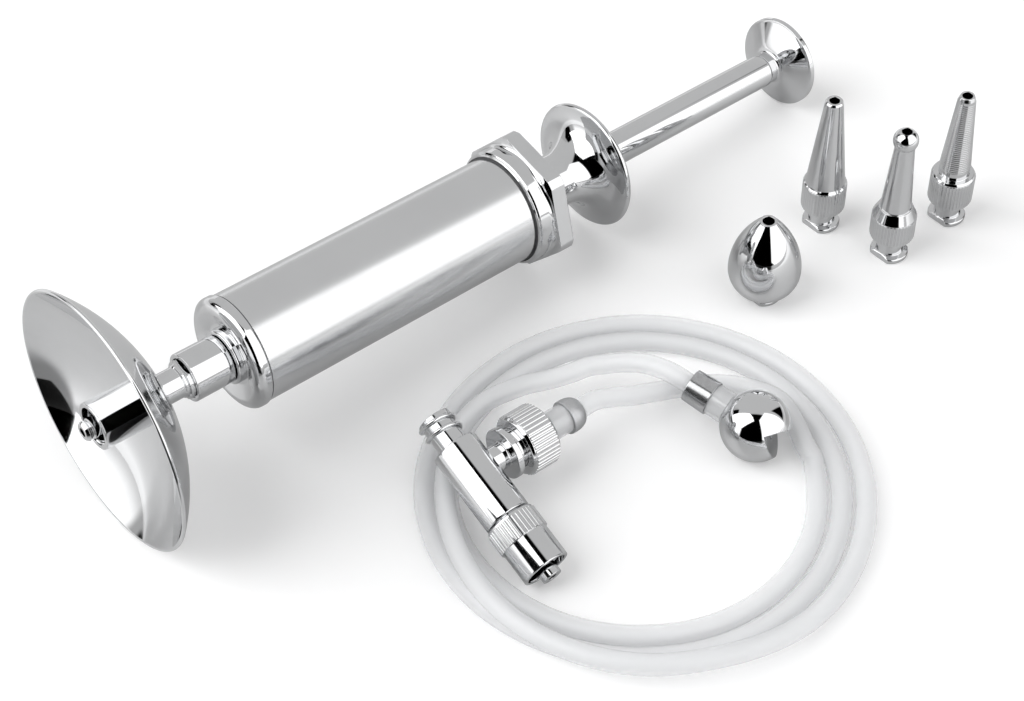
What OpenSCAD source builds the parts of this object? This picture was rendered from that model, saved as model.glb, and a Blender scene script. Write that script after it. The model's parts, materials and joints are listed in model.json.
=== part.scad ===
// Metal ear syringe set laid out on a table: the syringe with its splash shield,
// four spare ear tips and a refill check valve with tubing and a weighted ball.
// Millimetres, +Z up, origin on the table under the middle of the metal pieces.
// Stations s run along the syringe from the shield's rim plane to the thumb disc.

/* [Splash shield] */
// Outer diameter of the splash shield
shield_d = 53; // [44:0.5:60]
// Depth of the shield's bowl behind its rim
shield_depth = 11.6; // [9:0.2:14]
// Sheet thickness of the shield
shield_wall = 0.8; // [0.6:0.1:1.2]
// Diameter of the rolled rim
shield_rim_d = 1.5; // [1.3:0.1:2]
// Outer diameter of the shroud round the front nozzle
shroud_d = 9.2; // [8.4:0.1:10]
// How far the shroud stands forward of the rim plane
shroud_out = 1.1; // [0:0.1:3]
// How far the front nozzle stands forward of the shroud
front_pin_out = 2.1; // [1:0.1:4]

/* [Luer fittings] */
// Outer diameter of a male luer pin
luer_pin_d = 3.94; // [3.9:0.01:4]
// Bore of a female luer socket
luer_socket_d = 4.1; // [4.06:0.01:4.2]
// Depth of a female luer socket
luer_depth = 7; // [5:0.1:8]
// Width over the lugs of a female fitting
lug_d = 7.8; // [7.6:0.05:8]
// Width across the flats of the lugs
lug_flats = 6.2; // [5.6:0.1:6.8]
// Inner diameter of a locking collar
lock_bore_d = 8.1; // [8.05:0.05:8.2]
// Bore of the fluid channels
channel_d = 1.8; // [1.2:0.1:2.2]

/* [Barrel] */
// Outer diameter of the barrel tube
barrel_d = 22.4; // [20:0.2:24]
// Wall of the barrel tube
barrel_wall = 1; // [0.8:0.1:1.4]
// Station of the barrel tube's front end
barrel_front = 30.5; // [30:0.1:31]
// Length of the barrel tube
barrel_len = 63.9; // [60:0.5:70]
// Thickness of the sealing rings at the two ends of the barrel
gasket_t = 0.3; // [0.2:0.05:0.5]
// Outer diameter of the nozzle's locking collar
nozzle_collar_d = 9.8; // [9.4:0.1:10.6]
// Length of the nozzle's locking collar
nozzle_collar_len = 8.2; // [7:0.1:8.4]

/* [Rear cap and finger grip] */
// Width across the corners of the hexagonal cap
hex_corners = 29.9; // [28:0.1:32]
// Thickness of the hexagon
hex_t = 3.3; // [2.5:0.1:5]
// Turn of the hexagon about the barrel, in degrees
hex_turn = 42.2; // [0:0.1:60]
// Diameter of the finger grip's neck
grip_neck_d = 11.4; // [11:0.1:12.4]
// Diameter of the finger grip's flange
grip_d = 26.4; // [24:0.2:30]
// Diameter of the vent hole in the neck
vent_d = 1.2; // [0.8:0.1:1.6]

/* [Plunger] */
// Diameter of the plunger rod
rod_d = 7.2; // [6.6:0.1:7.4]
// Station of the piston's front face
piston_front = 81.4; // [79:0.1:84]
// Length of the piston
piston_len = 7.4; // [6.6:0.1:8]
// Station where the rod ends at the thumb disc
rod_end = 171; // [165:0.5:180]
// Diameter of the thumb disc
thumb_d = 19.8; // [17:0.2:24]
// Thickness of the thumb disc
thumb_t = 2.4; // [2:0.1:3]
// Running clearance on the radius between sliding or turning pieces
run_gap = 0.05; // [0.03:0.01:0.08]

/* [Spare tips] */
// Diameter of the knurled band on a tip
tip_band_d = 8.9; // [8.6:0.1:9.4]
// Height of the plain cone tip
plain_h = 33.9; // [30:0.1:38]
// Height of the ridged cone tip
ridged_h = 33.3; // [30:0.1:38]
// Spacing of the ridges on the ridged cone
ridge_pitch = 0.5; // [0.4:0.05:0.8]
// Height of the centre of the ball tip's ball
ball_tip_h = 31.3; // [28:0.1:35]
// Diameter of the ball tip's ball
ball_tip_d = 5.1; // [4.6:0.1:6]
// Height of the olive tip
olive_h = 20.9; // [19:0.1:24]
// Largest diameter of the olive tip
olive_d = 14.8; // [12:0.1:17]

/* [Refill valve] */
// Diameter of the valve body
valve_d = 9.2; // [8.8:0.1:9.4]
// Tilt of the valve on the tubing, in degrees
valve_pitch = 18; // [17.8:0.1:19]
// Diameter of the valve's locking collar
valve_collar_d = 9.5; // [9.2:0.1:9.8]
// Diameter of the union nut
nut_d = 12.4; // [11.6:0.1:13]
// Diameter of the check balls
check_d = 3.2; // [3:0.1:3.6]
// Opening travel of a check ball
check_lift = 1.2; // [0.8:0.1:1.3]

/* [Tubing and weight] */
// Outer diameter of the tubing
tube_d = 4; // [3.6:0.1:4.1]
// Spacing of neighbouring loops of the coil
loop_pitch = 4.5; // [4.45:0.05:4.6]
// Radius of the coil's inner loop
coil_r = 32.5; // [32.3:0.1:32.7]
// Diameter of the weighted ball
weight_d = 13.8; // [13.4:0.1:14.2]

/* [Hidden] */

$fn = 96;
eps = 0.02;
pin_r = luer_pin_d / 2;
socket_r = luer_socket_d / 2;
lug_r = lug_d / 2;
lock_r = lock_bore_d / 2;
channel_r = channel_d / 2;

// Syringe attitude: it rests on the shield's rolled rim and the thumb disc's edge.
shield_r = shield_d / 2;
rim_r = shield_rim_d / 2;
thumb_r = thumb_d / 2;
thumb_edge_r = thumb_t / 2;
hub_len = 4.2;
thumb_mid = rod_end + hub_len + thumb_edge_r;
rest_ds = thumb_mid;
rest_dr = (shield_r - rim_r) - (thumb_r - thumb_edge_r);
lean = atan(rest_dr / rest_ds) + asin((rim_r - thumb_edge_r) / norm([rest_ds, rest_dr]));
axis_x0 = shield_r * sin(lean);
axis_z0 = rim_r + (shield_r - rim_r) * cos(lean);

// Shield section
dish_r = (pow(shield_r, 2) + pow(shield_depth, 2)) / (2 * shield_depth);
dish_s = shield_depth - dish_r;
mouth_s = -shroud_out;
front_tip_s = mouth_s - front_pin_out;
dish_hole_r = 2.6;
stud_r = dish_hole_r - 0.1;
foot_r = 5.4;
foot_s = dish_s + sqrt(pow(dish_r - shield_wall, 2) - pow(foot_r, 2)) - eps;
neck_r = 3.1;
hub_s = dish_s + sqrt(pow(dish_r, 2) - pow(neck_r, 2)) + 0.3;

// Nozzle: male luer with a swivelling locking collar
pin_tip_s = 16.2;
collar_s1 = 26.4;
collar_s0 = collar_s1 - nozzle_collar_len;
collar_wall_s = collar_s1 - 1.9;
stem_r = 2.5;
hub_stem_r = 3;
washer_s = collar_s1 + 0.2;
cap_face_s = barrel_front - gasket_t - 2;
lug_s1 = 18.9;
lug_t = 1.7;

// Barrel and its ends
barrel_r = barrel_d / 2;
bore_r = barrel_r - barrel_wall;
barrel_rear = barrel_front + barrel_len;
spigot_r = bore_r - run_gap;
cap_s = barrel_rear + gasket_t;
nose_s = barrel_front - gasket_t;
hex_s0 = cap_s + 4;
hex_s1 = hex_s0 + hex_t;
gland_s = hex_s1 - 5.4;
gland_r = 4.95;
packing_gap = 2.5;
cap_spigot_len = 4;
grip_dish_r = 6.5;
lip_turn = 70;
rod_r = rod_d / 2;
rod_bore_r = rod_r + run_gap;
grip_neck_r = grip_neck_d / 2;
grip_r = grip_d / 2;
flare_r = grip_r - grip_neck_r;
flare_s = hex_s1 + 7.5;
grip_face_s = flare_s + flare_r;
grip_back_s = grip_face_s + 1.3;

// Plunger
piston_rear = piston_front + piston_len;
piston_r = bore_r - 2 * run_gap;
oring_r = 0.9;
oring_mid_r = bore_r - run_gap - oring_r;
groove_r = oring_mid_r - oring_r - run_gap;
groove_w = 2 * oring_r + 0.1;
oring_inset = 1.85;
piston_stud_r = 2.45;
nut_s = piston_front - 1.5;
thumb_stud_r = 2;
thumb_stud_len = 5;

// Layout: the table position of each loose piece before the origin is taken off
tip_plain_xy = [155.6, -34.5];
tip_ball_xy = [159.6, -50.1];
tip_ridged_xy = [176.5, -50.9];
tip_olive_xy = [131.7, -40.9];
valve_xy = [51.8, -58.1];
valve_az = 87.2;
weight_xy = [101.5, -68.5];
weight_az = 104;
tip_room = 0.25;
weight_pitch = 9.4;
coil_xy = [78.05, -62.5];

// Tips
band_r = tip_band_d / 2;
lug_h = 1.1;
tip_neck_r = 2.75;
tip_neck_h = 4.4;
tip_chan_r = 1.05;

// Valve, stations along its own axis from the locking collar towards the inlet
valve_r = valve_d / 2;
v_collar_r = valve_collar_d / 2;
v_band_r = v_collar_r + 0.35;
v_mouth = -7.9;
v_band0 = -1.3;
v_band1 = 3.4;
v_body0 = 3.8;
v_body1 = 20.6;
v_inlet = 27.4;
v_neck_r = 2.85;
v_pin_tip = -9.7;
v_stem_r = 2.9;
v_seat = 12.5;
v_chamber_r = 2.3;
v_port = 14.8;
port_roll = -5.3;
check_r = check_d / 2;
v_chan_r = 1.2;
seat_drop = sqrt(pow(check_r, 2) - pow(v_chan_r, 2)) + eps;
v_chamber0 = v_seat - seat_drop - check_r - check_lift - 0.1;
valve_z = -(v_mouth + 0.25) * sin(valve_pitch) + v_collar_r * cos(valve_pitch);

// Side port, stations along its own axis from the valve's axis
p_flange0 = 7;
p_flange1 = 8.3;
p_flange_r = 5.1;
p_stud_r = 4;
p_stud1 = 11.4;
p_chamber_r = 2.2;
p_chan_r = 1;
suction_drop = sqrt(pow(check_r, 2) - pow(p_chan_r, 2)) + eps;
p_chamber0 = p_stud1 - suction_drop - check_r - check_lift - 0.1;
seal_t = 0.5;
nut_r = nut_d / 2;
nut0 = 9.9;
nut1 = 17.2;
barb_flange0 = p_stud1 + seal_t;
barb_flange1 = barb_flange0 + 1.2;
barb_neck_r = 2.5;
barb_head0 = 22;
barb_head1 = 25.6;
barb_head_r = 3.45;

// Weight
weight_r = weight_d / 2;
w_flat = weight_r - 0.8;
w_barb0 = 9.7;
w_barb1 = 14.8;
w_barb_r = 3.55;
w_notch = -3.3;
w_slot_half = 48.8;
w_slot_turn = 45.6;

// Origin: under the middle of the metal pieces
x_low = axis_x0 + front_tip_s * cos(lean) - pin_r * sin(lean);
thumb_x = axis_x0 + thumb_mid * cos(lean) + (thumb_r - thumb_edge_r) * sin(lean);
x_high = max(thumb_x + thumb_edge_r, tip_ridged_xy[0] + band_r + tip_room);
y_high = shield_r;
valve_pin_y = valve_xy[1] + v_pin_tip * cos(valve_pitch) * sin(valve_az);
y_low = valve_pin_y - pin_r * sin(valve_pitch);
origin = [(x_low + x_high) / 2, (y_low + y_high) / 2, 0];

module on_table() translate(-origin) children();
module on_syringe()
    on_table() translate([axis_x0, 0, axis_z0]) rotate([0, 90 + lean, 0]) children();
module on_valve()
    on_table() translate([valve_xy[0], valve_xy[1], valve_z])
        rotate([0, 90 - valve_pitch, valve_az]) children();
module on_port()
    on_valve() translate([0, 0, v_port]) rotate([0, 90, -90 - port_roll]) children();
module on_weight()
    on_table() translate([weight_xy[0], weight_xy[1], weight_r])
        rotate([0, 90 - weight_pitch, weight_az]) children();
module at_tip(xy) on_table() translate([xy[0], xy[1], 0]) children();

// A turned solid from radius and station pairs
module lathe(points) rotate_extrude() polygon(points);
// A round bore between two stations
module bore(r, s0, s1) translate([0, 0, s0]) cylinder(r = r, h = s1 - s0);
// A quarter ellipse of radius and station pairs between two angles
function quarter(r0, s0, ra, sa, a0, a1, n) =
    [for (i = [0:n]) let(a = a0 + (a1 - a0) * i / n) [r0 + ra * cos(a), s0 + sa * sin(a)]];
// A female luer lug plate
module lug_plate(s0, t) intersection() {
    bore(lug_r, s0, s0 + t);
    translate([-lug_flats / 2, -lug_r, s0]) cube([lug_flats, lug_d, t]);
}

module shield_dish() color([0.80, 0.81, 0.83]) on_syringe() difference() {
    union() {
        a1 = asin((shield_r - rim_r) / dish_r);
        n = 20;
        lathe(concat(
            [for (i = [0:n]) let(a = a1 * i / n) [dish_r * sin(a), dish_s + dish_r * cos(a)]],
            [for (i = [n:-1:0]) let(a = a1 * i / n)
                [(dish_r - shield_wall) * sin(a), dish_s + (dish_r - shield_wall) * cos(a)]]));
        rotate_extrude() translate([shield_r - rim_r, 0]) circle(r = rim_r, $fn = 32);
    }
    bore(dish_hole_r, 0, shield_depth + 1);
}

module shield_nozzle() color([0.80, 0.81, 0.83]) on_syringe() difference() {
    union() {
        difference() {
            lathe([[0, mouth_s], [shroud_d / 2 - 0.3, mouth_s], [shroud_d / 2, mouth_s + 0.3],
                [shroud_d / 2, foot_s - 0.9], [foot_r, foot_s - 0.9], [foot_r, foot_s],
                [0, foot_s]]);
            bore(shroud_d / 2 - 0.85, mouth_s - 1, 5);
        }
        lathe([[0, 6], [pin_r, 6], [pin_r, front_tip_s + 1.5], [pin_r - 0.2, front_tip_s + 1.3],
            [pin_r - 0.2, front_tip_s + 1.1], [pin_r, front_tip_s + 0.9],
            [pin_r, front_tip_s + 0.5], [pin_r - 0.4, front_tip_s], [0, front_tip_s]]);
    }
    bore(channel_r, front_tip_s - 1, 8);
    bore(stud_r + eps, 7.4, foot_s + 1);
}

module shield_hub() color([0.80, 0.81, 0.83]) on_syringe() difference() {
    union() {
        bore(stud_r, 7.5, hub_s + 1);
        lathe([[0, hub_s], [neck_r, hub_s], [neck_r, lug_s1 - lug_t - 0.7],
            [neck_r + 0.25, lug_s1 - lug_t - 0.4], [neck_r + 0.25, lug_s1 - lug_t + 0.1],
            [0, lug_s1 - lug_t + 0.1]]);
        lug_plate(lug_s1 - lug_t, lug_t);
    }
    bore(channel_r, 6, lug_s1);
    bore(socket_r, pin_tip_s - 0.6, lug_s1 + 1);
}

module nozzle_collar() color([0.80, 0.81, 0.83]) on_syringe() difference() {
    r = nozzle_collar_d / 2;
    lathe([[0, collar_s0], [r - 0.3, collar_s0], [r, collar_s0 + 0.3], [r, collar_s1 - 0.2],
        [r - 0.2, collar_s1], [0, collar_s1]]);
    bore(lock_r, collar_s0 - 1, collar_wall_s);
    bore(stem_r + run_gap, collar_s0, collar_s1 + 1);
}

module nozzle_hub() color([0.80, 0.81, 0.83]) on_syringe() difference() {
    lathe([[0, pin_tip_s], [pin_r - 0.2, pin_tip_s], [pin_r, pin_tip_s + 0.2],
        [pin_r, collar_wall_s - 1], [lock_r - 0.6, collar_wall_s - 1],
        [lock_r - 0.6, collar_wall_s - 0.1], [stem_r, collar_wall_s - 0.1],
        [stem_r, washer_s], [hub_stem_r, washer_s], [hub_stem_r, nose_s + 1.8],
        [0, nose_s + 1.8]]);
    bore(channel_r, pin_tip_s - 1, nose_s + 4);
}

module nozzle_washer() color([0.72, 0.73, 0.75]) on_syringe() difference() {
    lathe([[0, washer_s], [5.3, washer_s], [5.5, washer_s + 0.2], [5.5, washer_s + 0.7],
        [6.1, washer_s + 0.7], [6.1, cap_face_s], [0, cap_face_s]]);
    bore(hub_stem_r + eps, washer_s - 1, cap_face_s + 1);
}

module nose_cap() color([0.80, 0.81, 0.83]) on_syringe() difference() {
    edge = barrel_r + 0.3;
    face_r = 6.3;
    swell_r = 9.4;
    swell_len = 3;
    lathe(concat([[0, cap_face_s], [face_r, cap_face_s], [swell_r, nose_s - swell_len]],
        quarter(swell_r, nose_s - 1.3, edge - swell_r, swell_len - 1.3, -90, 0, 8),
        [[edge, nose_s - 0.2], [edge - 0.2, nose_s], [spigot_r, nose_s],
        [spigot_r, nose_s + 3.8], [0, nose_s + 3.8]]));
    bore(hub_stem_r + eps, nose_s - 4, nose_s + 5);
    bore(spigot_r - 1.1, nose_s + 1.3, nose_s + 5);
}

module nose_gasket() color([0.15, 0.15, 0.16]) on_syringe() difference() {
    bore(barrel_r, nose_s, barrel_front);
    bore(spigot_r, nose_s - 1, barrel_front + 1);
}

module barrel_tube() color([0.76, 0.77, 0.79]) on_syringe() difference() {
    bore(barrel_r, barrel_front, barrel_rear);
    bore(bore_r, barrel_front - 1, barrel_rear + 1);
}

module cap_gasket() color([0.15, 0.15, 0.16]) on_syringe() difference() {
    bore(barrel_r + 0.4, barrel_rear, cap_s);
    bore(spigot_r, barrel_rear - 1, cap_s + 1);
}

module rear_cap() color([0.80, 0.81, 0.83]) on_syringe() difference() {
    skirt_r = barrel_r + 1.1;
    union() {
        bore(spigot_r, barrel_rear - cap_spigot_len, cap_s + 1);
        lathe([[0, cap_s], [skirt_r - 0.7, cap_s], [skirt_r - 0.2, cap_s + 0.5],
            [skirt_r, cap_s + 1], [skirt_r, cap_s + 3], [skirt_r - 0.6, cap_s + 3.4],
            [skirt_r - 0.6, hex_s0 + 0.1], [0, hex_s0 + 0.1]]);
        intersection() {
            translate([0, 0, hex_s0]) rotate([0, 0, hex_turn])
                cylinder(d = hex_corners, h = hex_t, $fn = 6);
            lathe([[0, hex_s0], [hex_corners / 2 - 0.9, hex_s0],
                [hex_corners / 2 + 0.1, hex_s0 + 0.6], [hex_corners / 2 + 0.1, hex_s1 - 0.6],
                [hex_corners / 2 - 0.9, hex_s1], [0, hex_s1]]);
        }
    }
    bore(rod_bore_r, barrel_rear - cap_spigot_len - 1, hex_s1 + 1);
    bore(gland_r, gland_s, hex_s1 + 1);
}

module gland_packing() color([0.16, 0.16, 0.17]) on_syringe() difference() {
    bore(gland_r - eps, gland_s, hex_s1 - packing_gap);
    bore(rod_bore_r, gland_s - 1, hex_s1);
}

module finger_grip() color([0.80, 0.81, 0.83]) on_syringe() difference() {
    union() {
        bore(gland_r - eps, hex_s1 - packing_gap, hex_s1 + 0.5);
        lathe(concat([[0, hex_s1], [grip_neck_r + 0.3, hex_s1], [grip_neck_r + 0.3, hex_s1 + 0.9],
            [grip_neck_r, hex_s1 + 1.1]],
            quarter(grip_r, flare_s, flare_r, flare_r, 180, 90, 14),
            quarter(grip_r - 0.2, grip_face_s + 0.65, 0.65, 0.65, -lip_turn, 90, 8),
            [[grip_r - 1, grip_back_s - 0.3], [grip_dish_r, grip_back_s - 1.1],
            [5, grip_back_s - 0.8], [0, grip_back_s - 0.8]]));
    }
    bore(rod_bore_r, hex_s1 - 4, grip_back_s + 1);
    translate([0, 0, hex_s1 + 6.5]) rotate([0, 90, -112]) cylinder(d = vent_d, h = 9);
}

module piston_oring(s) color([0.12, 0.12, 0.13]) on_syringe() translate([0, 0, s])
    rotate_extrude() translate([oring_mid_r, 0]) circle(r = oring_r, $fn = 32);
module piston_oring_front() piston_oring(piston_front + oring_inset);
module piston_oring_rear() piston_oring(piston_rear - oring_inset);

module piston_body() color([0.72, 0.73, 0.75]) on_syringe() difference() {
    bore(piston_r, piston_front, piston_rear);
    bore(piston_stud_r, piston_front - 1, piston_rear + 1);
    for (s = [piston_front + oring_inset, piston_rear - oring_inset]) difference() {
        bore(piston_r + 1, s - groove_w / 2, s + groove_w / 2);
        bore(groove_r, s - groove_w, s + groove_w);
    }
}

module piston_nut() color([0.72, 0.73, 0.75]) on_syringe() difference() {
    translate([0, 0, nut_s]) cylinder(r = 4.2, h = piston_front - nut_s, $fn = 6);
    bore(piston_stud_r, nut_s - 1, piston_front + 1);
}

module plunger_rod() color([0.80, 0.81, 0.83]) on_syringe() union() {
    bore(piston_stud_r, nut_s - 0.8, piston_rear + 1);
    bore(rod_r, piston_rear, rod_end);
    bore(thumb_stud_r, rod_end - 1, rod_end + thumb_stud_len);
}

module thumb_disc() color([0.80, 0.81, 0.83]) on_syringe() difference() {
    face = rod_end + hub_len;
    lathe(concat([[0, rod_end], [3.1, rod_end], [3.3, rod_end + 0.3]],
        quarter(5.2, rod_end + 2.3, 1.9, hub_len - 2.3, 180, 90, 6),
        quarter(thumb_r - thumb_edge_r, thumb_mid, thumb_edge_r, thumb_edge_r, -90, 90, 12),
        [[0, face + thumb_t]]));
    bore(thumb_stud_r, rod_end - 1, rod_end + thumb_stud_len + 0.1);
}

// Lug plate, neck and knurled band shared by the three long tips
module tip_foot(band0, band1) {
    lug_plate(0, lug_h);
    bore(tip_neck_r, 0, band0 + 0.5);
    lathe([[0, band0 - 0.9], [tip_neck_r, band0 - 0.9], [band_r, band0], [band_r, band1],
        [0, band1]]);
}
module tip_bores(h) {
    bore(socket_r, -1, luer_depth);
    bore(tip_chan_r, 1, h + 1);
}

module tip_plain() color([0.80, 0.81, 0.83]) at_tip(tip_plain_xy) difference() {
    union() {
        tip_foot(tip_neck_h + 0.7, 11.9);
        lathe([[0, 11.5], [band_r - 0.5, 11.5], [band_r - 0.6, 12.4],
            [1.85, plain_h - 0.4], [1.5, plain_h], [0, plain_h]]);
    }
    tip_bores(plain_h);
}

module tip_ball() color([0.80, 0.81, 0.83]) at_tip(tip_ball_xy) difference() {
    union() {
        tip_foot(tip_neck_h + 1, 11.3);
        lathe([[0, 11.2], [band_r, 11.3], [band_r - 1.3, 13.4], [3.15, 13.4],
            [2.05, ball_tip_h - ball_tip_d / 2 + 0.4], [0, ball_tip_h - ball_tip_d / 2 + 0.4]]);
        translate([0, 0, ball_tip_h]) sphere(d = ball_tip_d);
    }
    tip_bores(ball_tip_h + ball_tip_d);
}

module tip_ridged() color([0.80, 0.81, 0.83]) at_tip(tip_ridged_xy) difference() {
    ridge0 = 14.6;
    r0 = 3.15;
    r1 = 1.75;
    n = floor((ridged_h - 0.8 - ridge0) / ridge_pitch);
    union() {
        tip_foot(tip_neck_h + 0.9, 11.9);
        lathe([[0, 11.8], [band_r, 11.9], [band_r - 0.4, 12.6], [r0, 12.6], [r0, ridge0 + 0.1],
            [0, ridge0 + 0.1]]);
        lathe(concat([[0, ridge0]],
            [for (i = [0:n - 1]) let(r = r0 + (r1 - r0) * i / n, s = ridge0 + i * ridge_pitch)
                each [[r, s], [r + 0.05, s + 0.35 * ridge_pitch],
                    [r - 0.09, s + 0.85 * ridge_pitch]]],
            [[r1, ridge0 + n * ridge_pitch], [r1 - 0.4, ridged_h], [0, ridged_h]]));
    }
    tip_bores(ridged_h);
}

module tip_olive() color([0.80, 0.81, 0.83]) at_tip(tip_olive_xy) difference() {
    waist = 7.5;
    foot = 3;
    a0 = -acos(foot / (olive_d / 2));
    top_r = 1.8;
    lower = (waist - 1.1) / sin(-a0);
    shoulder = olive_h - 0.2 - waist;
    steps = 14;
    union() {
        lug_plate(0, lug_h);
        lathe(concat([[0, 1]], quarter(0, waist, olive_d / 2, lower, a0, 0, 10),
            [for (i = [1:steps]) let(t = i / steps)
                [olive_d / 2 - (olive_d / 2 - top_r) * t * t, waist + shoulder * t]],
            [[top_r - 0.4, olive_h], [0, olive_h]]));
    }
    bore(socket_r, -1, luer_depth);
    bore(tip_chan_r + 0.15, 1, olive_h + 1);
}

module valve_body() color([0.80, 0.81, 0.83]) difference() {
    union() {
        on_valve() lathe([[0, v_body0], [valve_r - 0.4, v_body0], [valve_r, v_body0 + 0.4],
            [valve_r, v_body1 - 0.5], [valve_r - 0.5, v_body1], [v_neck_r, v_body1],
            [v_neck_r, v_inlet - 4.2], [3.8, v_inlet - 3.8], [3.8, v_inlet - 3.4],
            [v_neck_r, v_inlet - 3], [v_neck_r, v_inlet - 1.1], [3.8, v_inlet - 0.8],
            [3.8, v_inlet - 0.3], [3.4, v_inlet], [0, v_inlet]]);
        on_port() bore(2.6, 3, p_flange0 + 0.5);
        on_port() bore(p_flange_r, p_flange0, p_flange1);
        on_port() bore(p_stud_r, p_flange1 - 0.1, p_stud1);
    }
    on_valve() bore(v_stem_r, v_body0 - 1, v_chamber0);
    on_valve() bore(v_chamber_r, v_body0, v_seat);
    on_valve() bore(v_chan_r, v_seat - 1, v_inlet);
    on_valve() bore(socket_r, v_inlet - luer_depth + 0.2, v_inlet + 1);
    on_port() bore(p_chan_r, 0, p_chamber0 + 1);
    on_port() bore(p_chamber_r, p_chamber0, p_stud1 + 1);
}

module valve_collar() color([0.80, 0.81, 0.83]) on_valve() difference() {
    lathe([[0, v_mouth], [v_collar_r - 0.25, v_mouth], [v_collar_r, v_mouth + 0.25],
        [v_collar_r, v_band0], [v_band_r, v_band0], [v_band_r, v_band1 - 0.3],
        [v_band_r - 0.3, v_band1], [0, v_band1]]);
    bore(lock_r, v_mouth - 1, -0.6);
    bore(v_stem_r + 0.6, -1, 2);
    bore(v_stem_r + run_gap, 0, v_band1 + 1);
}

module outlet_luer() color([0.80, 0.81, 0.83]) on_valve() difference() {
    lathe([[0, v_pin_tip], [pin_r - 0.2, v_pin_tip], [pin_r, v_pin_tip + 0.2], [pin_r, 0.8],
        [v_stem_r + 0.4, 0.8], [v_stem_r + 0.4, 1.8], [v_stem_r, 1.8], [v_stem_r, v_chamber0],
        [0, v_chamber0]]);
    bore(channel_r, v_pin_tip - 1, v_chamber0 + 1);
}

module outlet_ball() color([0.70, 0.71, 0.73]) on_valve()
    translate([0, 0, v_seat - seat_drop]) sphere(r = check_r);

module port_seal() color([0.16, 0.16, 0.17]) on_port() difference() {
    bore(p_stud_r - 0.1, p_stud1, barb_flange0);
    bore(p_chamber_r + 0.1, p_stud1 - 1, barb_flange0 + 1);
}

module hose_barb() color([0.78, 0.79, 0.81]) on_port() difference() {
    lathe([[0, p_stud1], [p_chamber_r, p_stud1], [p_chamber_r, barb_flange0],
        [p_stud_r + 0.4, barb_flange0], [p_stud_r + 0.4, barb_flange1],
        [barb_neck_r, barb_flange1], [barb_neck_r, barb_head0],
        [barb_head_r - 0.15, barb_head0], [barb_head_r, barb_head0 + 0.5],
        [barb_head_r - 0.1, barb_head0 + 1.4], [barb_head_r - 0.5, barb_head1 - 1.1],
        [tube_d / 2 + 0.5, barb_head1 - 0.3], [tube_d / 2 + 0.1, barb_head1], [0, barb_head1]]);
    bore(p_chan_r, p_stud1 - 1, barb_head1 + 1);
}

module union_nut() color([0.80, 0.81, 0.83]) on_port() difference() {
    lathe([[0, nut0], [nut_r - 0.3, nut0], [nut_r, nut0 + 0.3], [nut_r, nut1 - 1.2],
        [nut_r - 1.2, nut1], [0, nut1]]);
    bore(p_stud_r + run_gap, nut0 - 1, p_stud1);
    bore(p_stud_r + 0.4 + run_gap, p_stud1, barb_flange1 + 0.1);
    bore(barb_neck_r + run_gap, nut0, nut1 + 1);
}

module suction_ball() color([0.70, 0.71, 0.73]) on_port()
    translate([0, 0, p_stud1 - suction_drop]) sphere(r = check_r);

// Tubing: one swept tube through a list of points, with a ring of k corners at each
function unit(v) = v / norm(v);
function side(t) = unit(cross(t, [0, 0, 1]));
module sweep(path, r, k) {
    n = len(path);
    rings = [for (i = [0:n - 1])
        let(t = unit(path[min(i + 1, n - 1)] - path[max(i - 1, 0)]), u = side(t),
            w = cross(u, t))
        each [for (j = [0:k - 1]) let(a = 360 * j / k) path[i] + r * (sin(a) * u + cos(a) * w)]];
    quads = [for (i = [0:n - 2], j = [0:k - 1]) let(a = i * k + j, b = i * k + (j + 1) % k)
        each [[a, b, a + k], [b, b + k, a + k]]];
    caps = [for (j = [1:k - 2]) each [[0, j + 1, j],
        [(n - 1) * k, (n - 1) * k + j, (n - 1) * k + j + 1]]];
    polyhedron(points = rings, faces = concat(quads, caps), convexity = 10);
}

tube_r = tube_d / 2;
coil_from = 0;
coil_to = 945;
coil_step = 15;
coil_phase = -40;
function ease(a, a0, a1) = let(t = max(0, min(1, (a - a0) / (a1 - a0)))) t * t * (3 - 2 * t);
// Radius and height of the coil after a turn of a degrees: two loops side by side on
// the table, the third climbs on top of them and crosses inwards
function coil_radius(a) = coil_r + loop_pitch * (ease(a, 80, 200) + ease(a, 440, 560))
    - 5 * ease(a, 800, 920) - 0.0055 * pow(max(0, a - 915), 2);
function coil_height(a) = tube_r + loop_pitch * ease(a, 752, 800);
function coil_point(a) = [coil_xy[0] + coil_radius(a) * cos(coil_phase - a),
    coil_xy[1] + coil_radius(a) * sin(coil_phase - a), coil_height(a)];
coil_points = [for (a = [coil_from:coil_step:coil_to]) coil_point(a)];
coil_n = len(coil_points);
coil_in = unit(coil_point(0) - coil_point(1));
coil_out = unit(coil_point(coil_to) - coil_point(coil_to - 1));
coil_path = concat([coil_points[0] + tube_d * coil_in], coil_points,
    [coil_points[coil_n - 1] + tube_d * coil_out]);
coil_gap = min([for (i = [0:coil_n - 1]) for (j = [i + 12:1:coil_n - 1])
    norm(coil_points[i] - coil_points[j])]) - tube_d;

// Directions of the valve, its side port and the weight's hose barb
valve_dir = [cos(valve_pitch) * cos(valve_az), cos(valve_pitch) * sin(valve_az),
    sin(valve_pitch)];
valve_dn = [sin(valve_pitch) * cos(valve_az), sin(valve_pitch) * sin(valve_az),
    -cos(valve_pitch)];
valve_side = [-sin(valve_az), cos(valve_az), 0];
port_dir = cos(-90 - port_roll) * valve_dn + sin(-90 - port_roll) * valve_side;
valve_point = [valve_xy[0], valve_xy[1], valve_z];
port_point = valve_point + v_port * valve_dir;
weight_dir = [cos(weight_pitch) * cos(weight_az), cos(weight_pitch) * sin(weight_az),
    sin(weight_pitch)];
lead_start = port_point + barb_head1 * port_dir;
tail_end = [weight_xy[0], weight_xy[1], weight_r] + w_barb1 * weight_dir;

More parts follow.
